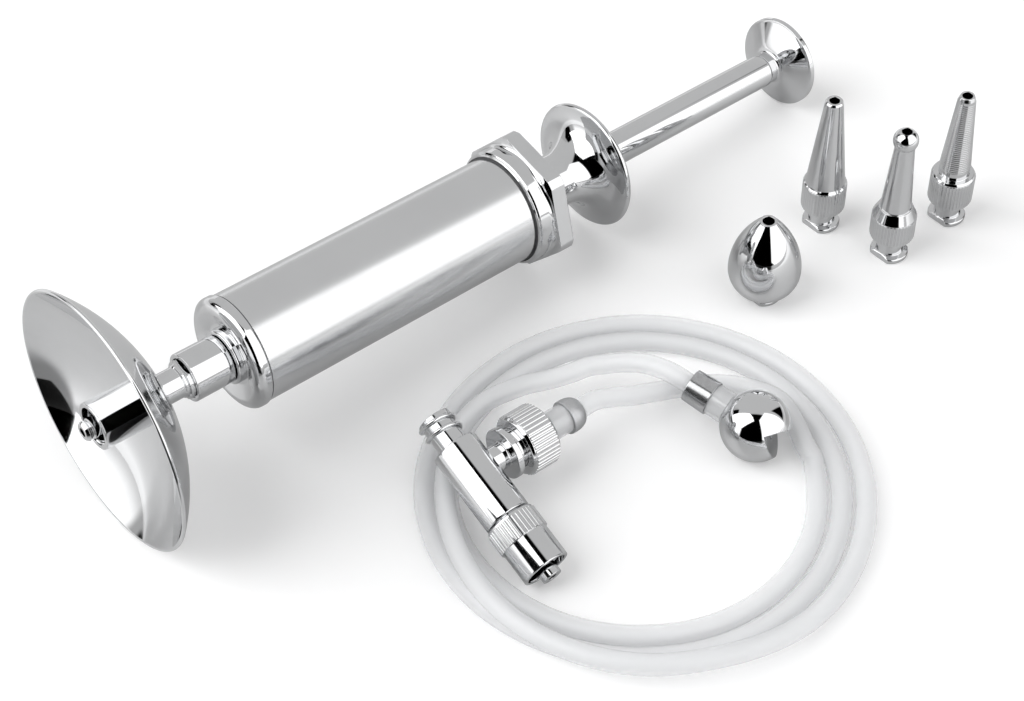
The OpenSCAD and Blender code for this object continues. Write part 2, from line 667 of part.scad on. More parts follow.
// Hand-chosen points of the two free stretches of tubing
lead_route = [[85.5, -46, 8.2], [89, -47.6, 7.3], [93, -49, 6.3], [97, -50.4, 5.3],
    [101, -52, 4.6], [105.2, -55.2, 4.5], [108.6, -60.2, 4.9], [110.7, -66, 4.6],
    [109.6, -71.2, 3.6], [107.8, -75.6, 2.7]];
lead_path = concat([lead_start, lead_start + tube_d * port_dir], lead_route,
    [coil_path[0] + tube_r * coil_in, coil_path[0]]);
tail_route = [[84.2, -35.2, 6.9], [87.6, -36.5, 7.3], [90.4, -38.8, 7.9], [92.7, -41.3, 8.7],
    [94.6, -44, 9.4], [96, -47.2, 9.9]];
tail_path = concat([coil_path[coil_n + 1], coil_path[coil_n + 1] + tube_r * coil_out], tail_route,
    [tail_end + tube_d * weight_dir, tail_end]);

module tube_lead() color([0.90, 0.92, 0.93, 0.5]) on_table() sweep(lead_path, tube_r, 8);
module tube_coil() color([0.90, 0.92, 0.93, 0.5]) on_table() sweep(coil_path, tube_r, 6);
module tube_tail() color([0.90, 0.92, 0.93, 0.5]) on_table() sweep(tail_path, tube_r, 8);

module weight_ball() color([0.80, 0.81, 0.83]) on_weight() difference() {
    sphere(r = weight_r, $fn = 128);
    bore(weight_r, w_flat, weight_r + 1);
    bore(1.82, 2.4, weight_r);
    bore(0.8, -weight_r, weight_r);
    reach = weight_r * tan(w_slot_half);
    rotate([0, 0, w_slot_turn]) rotate([90, 0, 0]) translate([0, 0, -weight_r])
        linear_extrude(2 * weight_r) polygon([[0, w_notch],
            [-reach, w_notch - weight_r], [reach, w_notch - weight_r]]);
}

module weight_barb() color([0.78, 0.79, 0.81]) on_weight() difference() {
    lathe([[0, 2.5], [1.8, 2.5], [1.8, w_flat], [2.6, w_flat], [2.6, w_barb0],
        [w_barb_r, w_barb0], [w_barb_r - 0.25, w_barb1], [0, w_barb1]]);
    bore(0.8, 2, w_barb1 + 1);
}

function place(p) = p - origin;
syringe_dir = [cos(lean), 0, -sin(lean)];
function on_axis(s) = place([axis_x0, 0, axis_z0] + s * syringe_dir);
function path_len(p) = len(p) < 2 ? 0
    : [for (i = 0, t = 0; i < len(p); i = i + 1, t = t + (i < len(p) ? norm(p[i] - p[i - 1]) : 0)) t];
lead_len = path_len(lead_path);
coil_len = path_len(coil_path);
tail_len = path_len(tail_path);
echo(lean = lean, origin = origin, syringe_dir = syringe_dir);
echo(axis0 = on_axis(0), front_tip = on_axis(front_tip_s), thumb_face = on_axis(thumb_mid + thumb_edge_r));
echo(valve_dir = valve_dir, port_dir = port_dir, weight_dir = weight_dir);
echo(valve0 = place(valve_point), valve_pin = place(valve_point + v_pin_tip * valve_dir),
    valve_inlet = place(valve_point + v_inlet * valve_dir), port0 = place(port_point));
echo(outlet_ball = place(valve_point + (v_seat - seat_drop) * valve_dir),
    suction_ball = place(port_point + (p_stud1 - suction_drop) * port_dir));
echo(lead_len = lead_len[len(lead_len) - 1], coil_len = coil_len[len(coil_len) - 1],
    tail_len = tail_len[len(tail_len) - 1]);
echo(coil_gap = coil_gap);

shield_dish();
shield_hub();
shield_nozzle();
nozzle_collar();
nozzle_hub();
nozzle_washer();
nose_cap();
nose_gasket();
barrel_tube();
cap_gasket();
rear_cap();
gland_packing();
finger_grip();
piston_oring_front();
piston_oring_rear();
piston_body();
piston_nut();
plunger_rod();
thumb_disc();
tip_plain();
tip_ball();
tip_ridged();
tip_olive();
valve_body();
valve_collar();
outlet_luer();
outlet_ball();
port_seal();
hose_barb();
union_nut();
suction_ball();
tube_lead();
tube_coil();
tube_tail();
weight_barb();
weight_ball();
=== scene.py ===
"""Dresses the metal ear syringe set and sets up its studio and camera."""

import json
import math

import bmesh
import bpy
from mathutils import Matrix, Vector

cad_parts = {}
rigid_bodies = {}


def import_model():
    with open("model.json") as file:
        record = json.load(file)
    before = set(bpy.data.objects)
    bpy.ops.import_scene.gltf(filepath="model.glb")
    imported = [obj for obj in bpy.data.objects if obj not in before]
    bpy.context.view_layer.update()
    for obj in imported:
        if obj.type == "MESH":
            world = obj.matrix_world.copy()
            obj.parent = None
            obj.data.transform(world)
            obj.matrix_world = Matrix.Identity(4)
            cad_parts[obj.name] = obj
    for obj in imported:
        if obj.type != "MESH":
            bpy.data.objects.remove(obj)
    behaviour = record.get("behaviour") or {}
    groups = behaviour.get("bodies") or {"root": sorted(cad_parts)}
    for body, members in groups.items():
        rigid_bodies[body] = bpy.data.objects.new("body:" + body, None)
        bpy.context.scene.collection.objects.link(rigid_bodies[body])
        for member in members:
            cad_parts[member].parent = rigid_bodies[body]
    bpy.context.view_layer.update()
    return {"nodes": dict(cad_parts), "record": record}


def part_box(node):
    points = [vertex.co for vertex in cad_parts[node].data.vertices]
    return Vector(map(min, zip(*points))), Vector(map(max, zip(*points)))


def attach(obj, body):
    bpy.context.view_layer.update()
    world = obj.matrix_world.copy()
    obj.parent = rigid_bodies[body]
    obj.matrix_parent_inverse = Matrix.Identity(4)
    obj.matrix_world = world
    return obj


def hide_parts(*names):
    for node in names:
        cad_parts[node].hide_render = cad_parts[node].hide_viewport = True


bl_info = {
    "name": "Ear syringe set",
    "version": (1, 0, 0),
    "blender": (4, 5, 0),
    "location": "View3D > Sidebar > Ear syringe",
    "description": "Builds the looks of a metal ear syringe with its tips and refill line",
    "category": "Object",
}

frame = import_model()
JOINTS = {joint["name"]: joint for joint in frame["record"]["behaviour"]["joints"]}
MM = 0.001


# ---------- axes


class Axis:
    """A turning axis. Stations run along it in millimetres, and x points down from it."""

    def __init__(self, start, along, down=(0, 0, -1)):
        self.start = Vector(start)
        self.z = Vector(along).normalized()
        down = Vector(down)
        self.x = (down - self.z * down.dot(self.z)).normalized()
        self.y = self.z.cross(self.x)

    def point(self, s):
        return self.start + MM * (s * self.z)

    def matrix(self):
        turn = Matrix((self.x, self.y, self.z)).transposed().to_4x4()
        return Matrix.Translation(self.start) @ turn @ Matrix.Scale(MM, 4)


def joint_axis(name, station, down=(0, 0, -1)):
    along = Vector(JOINTS[name]["axis"]).normalized()
    return Axis(Vector(JOINTS[name]["pos_m"]) - station * MM * along, along, down)


def standing_axis(node):
    low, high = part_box(node)
    return Axis(((low[0] + high[0]) / 2, (low[1] + high[1]) / 2, 0), (0, 0, 1), (1, 0, 0))


SYRINGE = joint_axis("nozzle_collar_turn", 22)
VALVE = joint_axis("valve_collar_turn", 0)
PORT = joint_axis("union_nut_turn", 13, -VALVE.z)
WEIGHT = Axis((0.011344, -0.0477885, 0.0069), (-0.238673, 0.957267, 0.163326))


# ---------- shader expressions


def new_node(tree, kind, settings=None, sockets=None):
    """Adds one node. Its sockets take values or the outputs of other nodes."""
    node = tree.nodes.new(kind)
    for key, value in (settings or {}).items():
        setattr(node, key, value)
    for key, value in (sockets or {}).items():
        value = getattr(value, "socket", value)
        if isinstance(value, bpy.types.NodeSocket):
            tree.links.new(value, node.inputs[key])
        else:
            node.inputs[key].default_value = value
    return node


class Value:
    """A shader socket that adds Math nodes when it is used in arithmetic."""

    def __init__(self, graph, socket):
        self.graph = graph
        self.socket = socket

    def math(self, operation, *others):
        return self.graph.math(operation, self, *others)

    def __add__(self, other):
        return self.math("ADD", other)

    def __mul__(self, other):
        return self.math("MULTIPLY", other)

    def __sub__(self, other):
        return self.math("SUBTRACT", other)

    def __rsub__(self, other):
        return self.graph.math("SUBTRACT", other, self)

    __radd__ = __add__
    __rmul__ = __mul__

    def ramp(self, low, high):
        """0 below low, 1 above high, smooth between."""
        settings = {"interpolation_type": "SMOOTHSTEP"}
        sockets = {"Value": self, "From Min": low, "From Max": high}
        return self.graph.value("ShaderNodeMapRange", settings, sockets, "Result")


class Graph:
    """The node tree of one material or world."""

    def __init__(self, owner):
        owner.use_nodes = True
        self.tree = owner.node_tree
        self.tree.nodes.clear()

    def add(self, kind, settings=None, sockets=None):
        return new_node(self.tree, kind, settings, sockets)

    def value(self, kind, settings=None, sockets=None, output=0):
        return Value(self, self.add(kind, settings, sockets).outputs[output])

    def math(self, operation, *values):
        return self.value("ShaderNodeMath", {"operation": operation}, dict(enumerate(values)))

    def mix(self, factor, first, second):
        sockets = {0: factor, 6: first, 7: second}
        return self.value("ShaderNodeMix", {"data_type": "RGBA"}, sockets, 2)

    def objects(self):
        return self.value("ShaderNodeTexCoord", output="Object")

    def stretched(self, axis, along, across):
        """Object coordinates turned onto an axis: scaled by along on it and by across round it."""
        point = {"vector_type": "POINT"}
        turn = {"Vector": self.objects(), "Rotation": Matrix((axis.x, axis.y, axis.z)).to_euler()}
        turned_place = self.value("ShaderNodeMapping", point, turn)
        scale = {"Vector": turned_place, "Scale": (across, across, along)}
        return self.value("ShaderNodeMapping", point, scale)

    def noise(self, vector, scale, detail=3.0, roughness=0.5):
        sockets = {"Vector": vector, "Scale": scale, "Detail": detail, "Roughness": roughness}
        return self.value("ShaderNodeTexNoise", {}, sockets, "Fac")

    def bump(self, height, strength, distance):
        sockets = {"Height": height, "Strength": strength, "Distance": distance}
        return self.value("ShaderNodeBump", {}, sockets, "Normal")

    def shades(self, mask, colour, shade):
        """A colour that darkens or lightens by shade where the mask is 1."""
        return self.mix(mask, (*colour, 1.0), (*(c * shade for c in colour), 1.0))

    def surface(self, shader, output="ShaderNodeOutputMaterial"):
        self.add(output, {}, {"Surface": shader})

    def principled(self, colours, roughness, normal, **others):
        """The finish of a piece. Sockets named in others have a space for each underscore."""
        sockets = {"Base Color": colours, "Roughness": roughness, "Normal": normal}
        sockets.update((key.replace("_", " "), value) for key, value in others.items())
        self.surface(self.value("ShaderNodeBsdfPrincipled", {}, sockets))


def finish(make):
    """Makes a material the first time it is asked for, named as its function is."""

    def get():
        made = bpy.data.materials.get(make.__name__)
        if not made:
            made = bpy.data.materials.new(make.__name__)
            make(Graph(made), bpy.context.scene.syringe_finish)
        return made

    return get


@finish
def polished_plate(graph, chosen):
    """Bright plate: a mirror with faint smears and hairline polishing marks."""
    smear = graph.noise(graph.objects(), 140.0, 4.0, 0.6).ramp(0.35, 0.75)
    hairline = graph.noise(graph.objects(), 2600.0, 2.0)
    graph.principled(
        graph.shades(smear, chosen.metal_tint, 0.965),
        chosen.metal_roughness + 0.03 * smear,
        graph.bump(hairline, 0.05, 0.00001),
        Metallic=1.0,
    )


@finish
def satin_plate(graph, chosen):
    """The barrel's plate: softly brushed along its length."""
    brushed = graph.noise(graph.stretched(SYRINGE, 0.06, 1.0), 1500.0, 4.0, 0.6)
    patch = graph.noise(graph.objects(), 60.0, 3.0).ramp(0.3, 0.7)
    graph.principled(
        graph.shades(patch, chosen.metal_tint, 0.97),
        chosen.barrel_roughness + 0.05 * brushed + 0.02 * patch,
        graph.bump(brushed, 0.12, 0.00002),
        Metallic=1.0,
    )


def tooled(graph, chosen, dull):
    """Plain grey metal with fine tool marks."""
    marks = graph.noise(graph.objects(), 1800.0, 4.0, 0.65)
    graph.principled(
        graph.shades(marks.ramp(0.3, 0.7), chosen.barb_tint, 0.9),
        dull + 0.1 * marks,
        graph.bump(marks, 0.15, 0.00003),
        Metallic=1.0,
    )


@finish
def turned_metal(graph, chosen):
    """The dull end of the port's barb, and the metal inside."""
    tooled(graph, chosen, 0.42)


@finish
def drawn_metal(graph, chosen):
    """The bright shanks of the two barbs."""
    tooled(graph, chosen, 0.12)


@finish
def seal_rubber(graph, chosen):
    """Smooth black rubber with a dusty bloom."""
    bloom = graph.noise(graph.objects(), 500.0, 5.0, 0.6)
    graph.principled(
        graph.shades(bloom.ramp(0.4, 0.7), chosen.rubber_tint, 1.7),
        0.45 + 0.2 * bloom,
        graph.bump(bloom, 0.2, 0.00004),
    )


@finish
def clear_tubing(graph, chosen):
    """Clear soft tubing with a faint milky haze."""
    haze = graph.noise(graph.objects(), 220.0, 3.0, 0.5)
    graph.principled(
        graph.shades(haze.ramp(0.3, 0.8), chosen.tubing_tint, 0.98),
        chosen.tubing_roughness + 0.04 * haze,
        graph.bump(haze, 0.1, 0.0001),
        IOR=1.22,
        Transmission_Weight=1.0,
        Alpha=chosen.tubing_body,
    )


# ---------- solids

# A point nearer than this to another, or to the axis, is on it.
ON_AXIS = 1e-6
# A corner that turns less than this stays sharp, and an arc has a point every so many degrees.
FLAT_TURN, ARC_STEP = math.radians(13), 15
# How much of the shorter side an arc and its line may take.
MOST_REACH, MOST_SUPPORT = 0.38, 0.48
# The standard fitting: its lugs' flats, its pin and its socket.
LUG_FLATS, PIN_R, SOCKET_R = 6.2, 1.97, 2.05


def fillets(points, closed, edge):
    """Rounds the corners of a section, with a line beside each arc to keep the flats flat.

    A third number in a point is its own rounding. Other points have that of edge.
    """
    count = len(points)
    result = []
    for i, point in enumerate(points):
        here = Vector(point[:2])
        if not closed and i in (0, count - 1):
            result.append(here)
            continue
        before = Vector(points[i - 1][:2]) - here
        after = Vector(points[(i + 1) % count][:2]) - here
        room = min(before.length, after.length)
        radius = point[2] if len(point) > 2 else edge
        if room < ON_AXIS:
            continue
        before.normalize()
        after.normalize()
        turn = math.pi - before.angle(after)
        if turn < FLAT_TURN or radius <= 0:
            result.append(here)
            continue
        reach = min(radius * math.tan(turn / 2), MOST_REACH * room)
        support = min(reach + radius / 2, MOST_SUPPORT * room)
        start = here + before * reach
        stop = here + after * reach
        steps = max(3, math.ceil(math.degrees(turn) / ARC_STEP))
        result.append(here + before * support)
        for k in range(steps + 1):
            t = k / steps
            result.append(start * (1 - t) ** 2 + here * 2 * t * (1 - t) + stop * t * t)
        result.append(here + after * support)
    return result


def arc(r0, s0, radius_r, radius_s, first, last, steps):
    """Points of an elliptical arc about (r0, s0), angles in degrees from the radial direction."""
    angles = [math.radians(first + (last - first) * i / steps) for i in range(steps + 1)]
    return [(r0 + radius_r * math.cos(a), s0 + radius_s * math.sin(a)) for a in angles]


def turned(name, axis, section, sides=144, edge=0.1, shape=None):
    """A mesh turned about an axis, from a section of (radius, station, rounding) points.

    A section that starts and ends on the axis is solid, and any other is a ring.
    shape(angle, r, s) may pull a point in.
    """
    closed = section[0][0] > 0
    rows, verts, faces = [], [], []
    for r, s in fillets(section, closed, edge):
        around = sides if r > ON_AXIS else 1
        rows.append([len(verts) + j for j in range(around)])
        for j in range(around):
            angle = 2 * math.pi * j / sides
            radius = shape(angle, r, s) if shape and around > 1 else r
            verts.append((radius * math.cos(angle), radius * math.sin(angle), s))
    for low, high in zip(rows, rows[1:] + rows[:closed]):
        for j in range(sides):
            k = (j + 1) % sides
            ends = [row[i % len(row)] for row, i in ((low, j), (low, k), (high, k), (high, j))]
            corners = tuple(dict.fromkeys(ends))
            if len(corners) > 2:
                faces.append(corners)
    return solid_of(name, verts, faces, axis.matrix())


def solid_of(name, verts, faces, place):
    """A smooth mesh whose faces all point outwards, set in its place."""
    mesh = bpy.data.meshes.new(name)
    mesh.from_pydata(verts, [], faces)
    mesh.transform(place)
    outward(mesh)
    return mesh


def outward(mesh):
    """Turns every face outwards and shades the mesh smooth."""
    work = bmesh.new()
    work.from_mesh(mesh)
    bmesh.ops.recalc_face_normals(work, faces=work.faces)
    for face in work.faces:
        face.smooth = True
    work.to_mesh(mesh)
    work.free()
    mesh.update()


def joined(name, *meshes):
    """One mesh from several."""
    work = bmesh.new()
    for mesh in meshes:
        work.from_mesh(mesh)
    result = bpy.data.meshes.new(name)
    work.to_mesh(result)
    work.free()
    for mesh in meshes:
        bpy.data.meshes.remove(mesh)
    return result


def piece(name, mesh, look, slot, body, *nodes):
    """Adds a mesh to the scene as a piece that rides on a body and stands for CAD nodes."""
    mesh.name = name
    mesh.materials.clear()
    mesh.materials.append(look)
    made = linked(name, mesh)
    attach(made, body)
    if nodes:
        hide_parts(*nodes)
    return made


def plated(name, mesh, body, *nodes):
    return piece(name, mesh, polished_plate(), "chromed_metal", body, *nodes)


def lathed(name, axis, section, body, *nodes, **options):
    """A plated piece turned from its section."""
    return plated(name, turned(name, axis, section, **options), body, *nodes)


def evaluated(holder):
    """The plain mesh of an object with its modifiers applied. The object is removed."""
    bpy.context.view_layer.update()
    shown = holder.evaluated_get(bpy.context.evaluated_depsgraph_get())
    mesh = bpy.data.meshes.new_from_object(shown)
    removed(holder)
    return mesh


def removed(*objects):
    for old in objects:
        data = old.data
        bpy.data.objects.remove(old)
        bpy.data.meshes.remove(data)


def linked(name, mesh):
    made = bpy.data.objects.new(name, mesh)
    bpy.context.scene.collection.objects.link(made)
    return made


def sleeved(name, axis, inner, outer, low, high):
    """A clear sleeve round a barb."""
    section = [(inner, low), (outer, low), (outer, high), (inner, high)]
    mesh = turned(name, axis, section, 96)
    return piece(name, mesh, clear_tubing(), "clear_tubing", "refill_line")


def lug_shape(low, high):
    """Cuts the lug plate between two stations to its two flats."""

    def cut(angle, r, s):
        across = abs(math.cos(angle))
        if not low <= s <= high or across < 1e-6:
            return r
        return min(r, LUG_FLATS / 2 / across)

    return cut


# ---------- repeated detail


class Growth:
    """A geometry node tree with named inputs and their defaults, and the finish as the last."""

    def __init__(self, name, fields):
        self.tree = bpy.data.node_groups.new(name, "GeometryNodeTree")
        sockets = self.tree.interface
        sockets.new_socket("Geometry", in_out="OUTPUT", socket_type="NodeSocketGeometry")
        for label, default in fields.items():
            kind = "NodeSocketInt" if isinstance(default, int) else "NodeSocketFloat"
            sockets.new_socket(label, in_out="INPUT", socket_type=kind).default_value = default
        sockets.new_socket("Finish", in_out="INPUT", socket_type="NodeSocketMaterial")
        self.given = self.tree.nodes.new("NodeGroupInput").outputs

    def add(self, kind, sockets=None, output=0, **settings):
        """Adds one node and gives an output of it."""
        node = new_node(self.tree, kind, settings, sockets)
        return node.outputs[output] if node.outputs else None

    def finish(self, geometry, height):
        """Lifts the geometry to a height, makes it real and gives it the finish."""
        lift = self.add("ShaderNodeCombineXYZ", {"Z": height})
        moved = self.add("GeometryNodeTransform", {"Geometry": geometry, "Translation": lift})
        real = self.add("GeometryNodeRealizeInstances", {"Geometry": moved})
        look = {"Geometry": real, "Material": self.given["Finish"]}
        self.add("NodeGroupOutput", {"Geometry": self.add("GeometryNodeSetMaterial", look)})
        return self.tree


def knurl_ridges():
    """Straight ridges standing round a band."""
    fields = {"Ridges": 40, "Band radius": 4.6, "Ridge width": 0.5, "Ridge height": 0.2}
    growth = Growth("knurl_ridges", {**fields, "Ridge length": 6.0, "Band middle": 8.0})
    given = growth.given
    rod = {"Vertices": 10, "Side Segments": 1, "Radius": 0.5, "Depth": 1.0}
    ridge = growth.add("GeometryNodeMeshCylinder", rod, "Mesh", fill_type="NGON")
    sides = zip("XYZ", ("Ridge height", "Ridge width", "Ridge length"))
    size = growth.add("ShaderNodeCombineXYZ", {side: given[name] for side, name in sides})
    shaped = growth.add("GeometryNodeTransform", {"Geometry": ridge, "Scale": size})
    circle = {"Vertices": given["Ridges"], "Radius": given["Band radius"]}
    ring = growth.add("GeometryNodeMeshCircle", circle, "Mesh")
    place = growth.add("GeometryNodeInputPosition")
    x, y = (growth.add("ShaderNodeSeparateXYZ", {0: place}, side) for side in "XY")
    turn = {"Z": growth.add("ShaderNodeMath", {0: y, 1: x}, operation="ARCTAN2")}
    turned_out = growth.add("ShaderNodeCombineXYZ", turn)
    copies = {"Points": ring, "Instance": shaped, "Rotation": turned_out}
    ridges = growth.add("GeometryNodeInstanceOnPoints", copies, "Instances")
    return growth.finish(ridges, given["Band middle"])


def screw_thread():
    """A ridge that climbs round a cylinder."""
    fields = {"Turns": 2.0, "Pitch": 2.5, "Thread radius": 3.6, "Ridge radius": 0.3, "Start": 0.0}
    growth = Growth("screw_thread", fields)
    given = growth.given
    both = {0: given["Turns"], 1: given["Pitch"]}
    spiral = {
        "Resolution": 72,
        "Rotations": given["Turns"],
        "Start Radius": given["Thread radius"],
        "End Radius": given["Thread radius"],
        "Height": growth.add("ShaderNodeMath", both, operation="MULTIPLY"),
    }
    path = growth.add("GeometryNodeCurveSpiral", spiral, "Curve")
    circle = {"Resolution": 12, "Radius": given["Ridge radius"]}
    section = growth.add("GeometryNodeCurvePrimitiveCircle", circle, "Curve")
    sweep = {"Curve": path, "Profile Curve": section, "Fill Caps": True}
    return growth.finish(growth.add("GeometryNodeCurveToMesh", sweep, "Mesh"), given["Start"])


def grown(name, axis, make, *sizes):
    """Runs the tree of a function with its inputs' sizes, and turns the mesh onto the axis."""
    tree = bpy.data.node_groups.get(make.__name__) or make()
    holder = linked(name + "_seed", bpy.data.meshes.new(name + "_seed"))
    modifier = holder.modifiers.new("detail", "NODES")
    modifier.node_group = tree
    inputs = [item for item in tree.interface.items_tree if item.in_out == "INPUT"]
    for item, value in zip(inputs, (*sizes, polished_plate())):
        whole = item.socket_type != "NodeSocketFloat"
        modifier[item.identifier] = value if whole else float(value)
    mesh = evaluated(holder)
    mesh.transform(axis.matrix())
    outward(mesh)
    return mesh


def knurl(name, axis, low, high, radius, ridges, width, height, body):
    """Straight knurling from one station to another, its ridges centred on a radius."""
    length, middle = high - low, (low + high) / 2
    mesh = grown(name, axis, knurl_ridges, ridges, radius, width, height, length, middle)
    mesh.set_sharp_from_angle(angle=math.radians(50))
    return plated(name, mesh, body)


def thread(name, axis, start, turns, pitch, radius, ridge, body):
    """A screw thread from a station on, right-hand."""
    mesh = grown(name, axis, screw_thread, turns, pitch, radius, ridge, start)
    return plated(name, mesh, body)


# ---------- tubing

TUBE_D = 4.0
LOOP_PITCH = 4.5
LOOP_R = 32.5
LAYOUT = Vector((90.156, -20.7115, 0.0))
COIL_CENTRE = Vector((78.05, -62.5, 0.0)) - LAYOUT
COIL_PHASE = -40.0
COIL_TURN = 945


def ease(a, first, last):
    t = max(0.0, min(1.0, (a - first) / (last - first)))
    return t * t * (3 - 2 * t)


def coil_point(a):
    """Centre of the tubing after a turn of a degrees, in millimetres."""
    radius = (
        LOOP_R
        + LOOP_PITCH * (ease(a, 80, 200) + ease(a, 440, 560))
        - 5 * ease(a, 800, 920)
        - 0.0055 * max(0.0, a - 915) ** 2
    )
    angle = math.radians(COIL_PHASE - a)
    height = TUBE_D / 2 + LOOP_PITCH * ease(a, 752, 800)
    return COIL_CENTRE + Vector((radius * math.cos(angle), radius * math.sin(angle), height))


LEAD_ROUTE = [
    (85.5, -46, 8.2), (89, -47.6, 7.3), (93, -49, 6.3), (97, -50.4, 5.3), (101, -52, 4.6),
    (105.2, -55.2, 4.5), (108.6, -60.2, 4.9), (110.7, -66, 4.6), (109.6, -71.2, 3.6),
    (107.8, -75.6, 2.7),
]
TAIL_ROUTE = [
    (84.2, -35.2, 6.9), (87.6, -36.5, 7.3), (90.4, -38.8, 7.9), (92.7, -41.3, 8.7),
    (94.6, -44, 9.4), (96, -47.2, 9.9),
]
BARB_END = 25.6
WEIGHT_END = 14.8


def tube_route():
    """The tubing's centreline from the valve's barb, round the coil, to the weight's barb."""
    start = PORT.point(BARB_END) / MM
    stop = WEIGHT.point(WEIGHT_END) / MM
    inwards = (coil_point(0) - coil_point(1)).normalized()
    outwards = (coil_point(COIL_TURN) - coil_point(COIL_TURN - 1)).normalized()
    before = coil_point(0) + TUBE_D * inwards
    after = coil_point(COIL_TURN) + TUBE_D * outwards
    route = [start, start + TUBE_D * PORT.z]
    route += [Vector(p) - LAYOUT for p in LEAD_ROUTE]
    route += [before + TUBE_D / 2 * inwards, before]
    route += [coil_point(a) for a in range(0, COIL_TURN + 1, 15)]
    route += [after, after + TUBE_D / 2 * outwards]
    route += [Vector(p) - LAYOUT for p in TAIL_ROUTE]
    route += [stop + TUBE_D * WEIGHT.z, stop]
    return [p * MM for p in route]


def smooth_line(points, steps):
    """A smooth line through points, with a few steps between each pair.

    Each stretch is a centripetal spline through the two points beside it.
    """

    def between(p, q, t, at_p, at_q):
        return p * ((at_q - t) / (at_q - at_p)) + q * ((t - at_p) / (at_q - at_p))

    line = []
    last = len(points) - 1
    for i in range(last):
        p0, p1, p2, p3 = (points[min(max(j, 0), last)] for j in range(i - 1, i + 3))
        t0 = 0.0
        t1 = t0 + max(1e-9, (p1 - p0).length) ** 0.5
        t2 = t1 + max(1e-9, (p2 - p1).length) ** 0.5
        t3 = t2 + max(1e-9, (p3 - p2).length) ** 0.5
        for k in range(steps):
            t = t1 + (t2 - t1) * k / steps
            first = between(p0, p1, t, t0, t1) if i else p1
            middle = between(p1, p2, t, t1, t2)
            final = between(p2, p3, t, t2, t3) if i < last - 1 else p2
            near = between(first, middle, t, t0, t2) if i else middle
            far = between(middle, final, t, t1, t3) if i < last - 1 else middle
            line.append(between(near, far, t, t1, t2))
    line.append(points[last])
    return line


def hose(name, line, outer, inner, sides=28):
    """A tube with a bore along a line of points, in metres."""
    tangents = []
    for i, here in enumerate(line):
        ahead = line[min(i + 1, len(line) - 1)] - line[max(i - 1, 0)]
        tangents.append(ahead.normalized())
    side = tangents[0].cross(Vector((0, 0, 1))).normalized()
    verts, faces = [], []
    for here, along in zip(line, tangents):
        side = (side - along * side.dot(along)).normalized()
        top = side.cross(along)
        for radius in (outer, inner):
            for j in range(sides):
                a = 2 * math.pi * j / sides
                verts.append(here + radius * (math.cos(a) * side + math.sin(a) * top))
    ring = 2 * sides
    for i in range(len(line) - 1):
        for j in range(sides):
            k = (j + 1) % sides
            a, b = i * ring + j, i * ring + k
            faces.append((a, b, b + ring, a + ring))
            a, b = a + sides, b + sides
            faces.append((b, a, a + ring, b + ring))
    for base in (0, (len(line) - 1) * ring):
        for j in range(sides):
            k = (j + 1) % sides
            faces.append((base + j, base + k, base + sides + k, base + sides + j))
    return solid_of(name, verts, faces, Matrix())


# ---------- settings


def setting(kind, name, description, default, **limits):
    """A property of a group. Its limits are those that Blender's own properties take."""
    return kind(name=name, description=description, default=default, **limits)


def tint(*words):
    kind = bpy.props.FloatVectorProperty
    return setting(kind, *words, subtype="COLOR", size=3, min=0.0, max=1.0)


def share(*words):
    return setting(bpy.props.FloatProperty, *words, subtype="FACTOR", min=0.0, max=1.0)


def glow(*words):
    return setting(bpy.props.FloatProperty, *words, min=0.0, max=5.0)


def ridge_count(*words):
    return setting(bpy.props.IntProperty, *words, min=8, max=120)


def tube_bore(*words):
    limits = {"subtype": "DISTANCE", "unit": "LENGTH", "min": 0.0005, "max": 0.0035}
    return setting(bpy.props.FloatProperty, *words, **limits)


class SyringeFinish(bpy.types.PropertyGroup):
    """Colours and finishes of the set."""

    metal_tint: tint("Metal colour", "Colour of the bright plate", (0.755, 0.76, 0.768))
    metal_roughness: share("Metal roughness", "Roughness of the mirror-polished pieces", 0.035)
    barrel_roughness: share("Barrel roughness", "Roughness of the barrel's satin plate", 0.17)
    barb_tint: tint("Barb colour", "Colour of the plain turned metal", (0.60, 0.605, 0.615))
    rubber_tint: tint("Rubber colour", "Colour of the seals", (0.03, 0.03, 0.032))
    tubing_tint: tint("Tubing colour", "Tint of the clear tubing", (0.995, 0.996, 0.998))
    tubing_body: share("Tubing body", "How much the tubing shows, from not at all to fully", 0.07)
    tubing_roughness: share("Tubing roughness", "How milky the tubing looks", 0.12)


class SyringeDetail(bpy.types.PropertyGroup):
    """Counts and sizes of the fine detail."""

    tip_knurls: ridge_count("Tip knurls", "Ridges round the band of each long tip", 42)
    collar_knurls: ridge_count("Collar knurls", "Ridges round the valve's locking collar", 34)
    nut_knurls: ridge_count("Nut knurls", "Ridges round the union nut", 40)
    tip_rings: ridge_count("Tip rings", "Grip rings on the ridged tip", 36)
    tubing_bore: tube_bore("Tubing bore", "Inner diameter of the tubing", 0.0024)


class StudioLook(bpy.types.PropertyGroup):
    """The plain studio round the set."""

    floor_shade: share("Floor shade", "How pale the camera sees the floor, before shadows", 0.12)
    table_shade: share("Table shade", "How pale the floor looks in the metal", 0.03)
    wall_shade: glow("Wall shade", "Brightness of the wall behind the set", 0.60)
    left_panel: glow("Left panel", "Strength of the soft light on the left", 1.9)
    right_panel: glow("Right panel", "Strength of the soft light on the right", 1.5)


# ---------- stage


def heading(azimuth, elevation):
    """A direction from its azimuth and elevation in degrees."""
    a, e = math.radians(azimuth), math.radians(elevation)
    return Vector((math.cos(e) * math.cos(a), math.cos(e) * math.sin(a), math.sin(e)))


# The sky has a left panel for the matt pieces alone, brighter by this than the one in the metal.
SKY_PANEL = 1.9
WHITE = (1.0, 1.0, 1.0, 1.0)
BLACK = (0.0, 0.0, 0.0, 1.0)
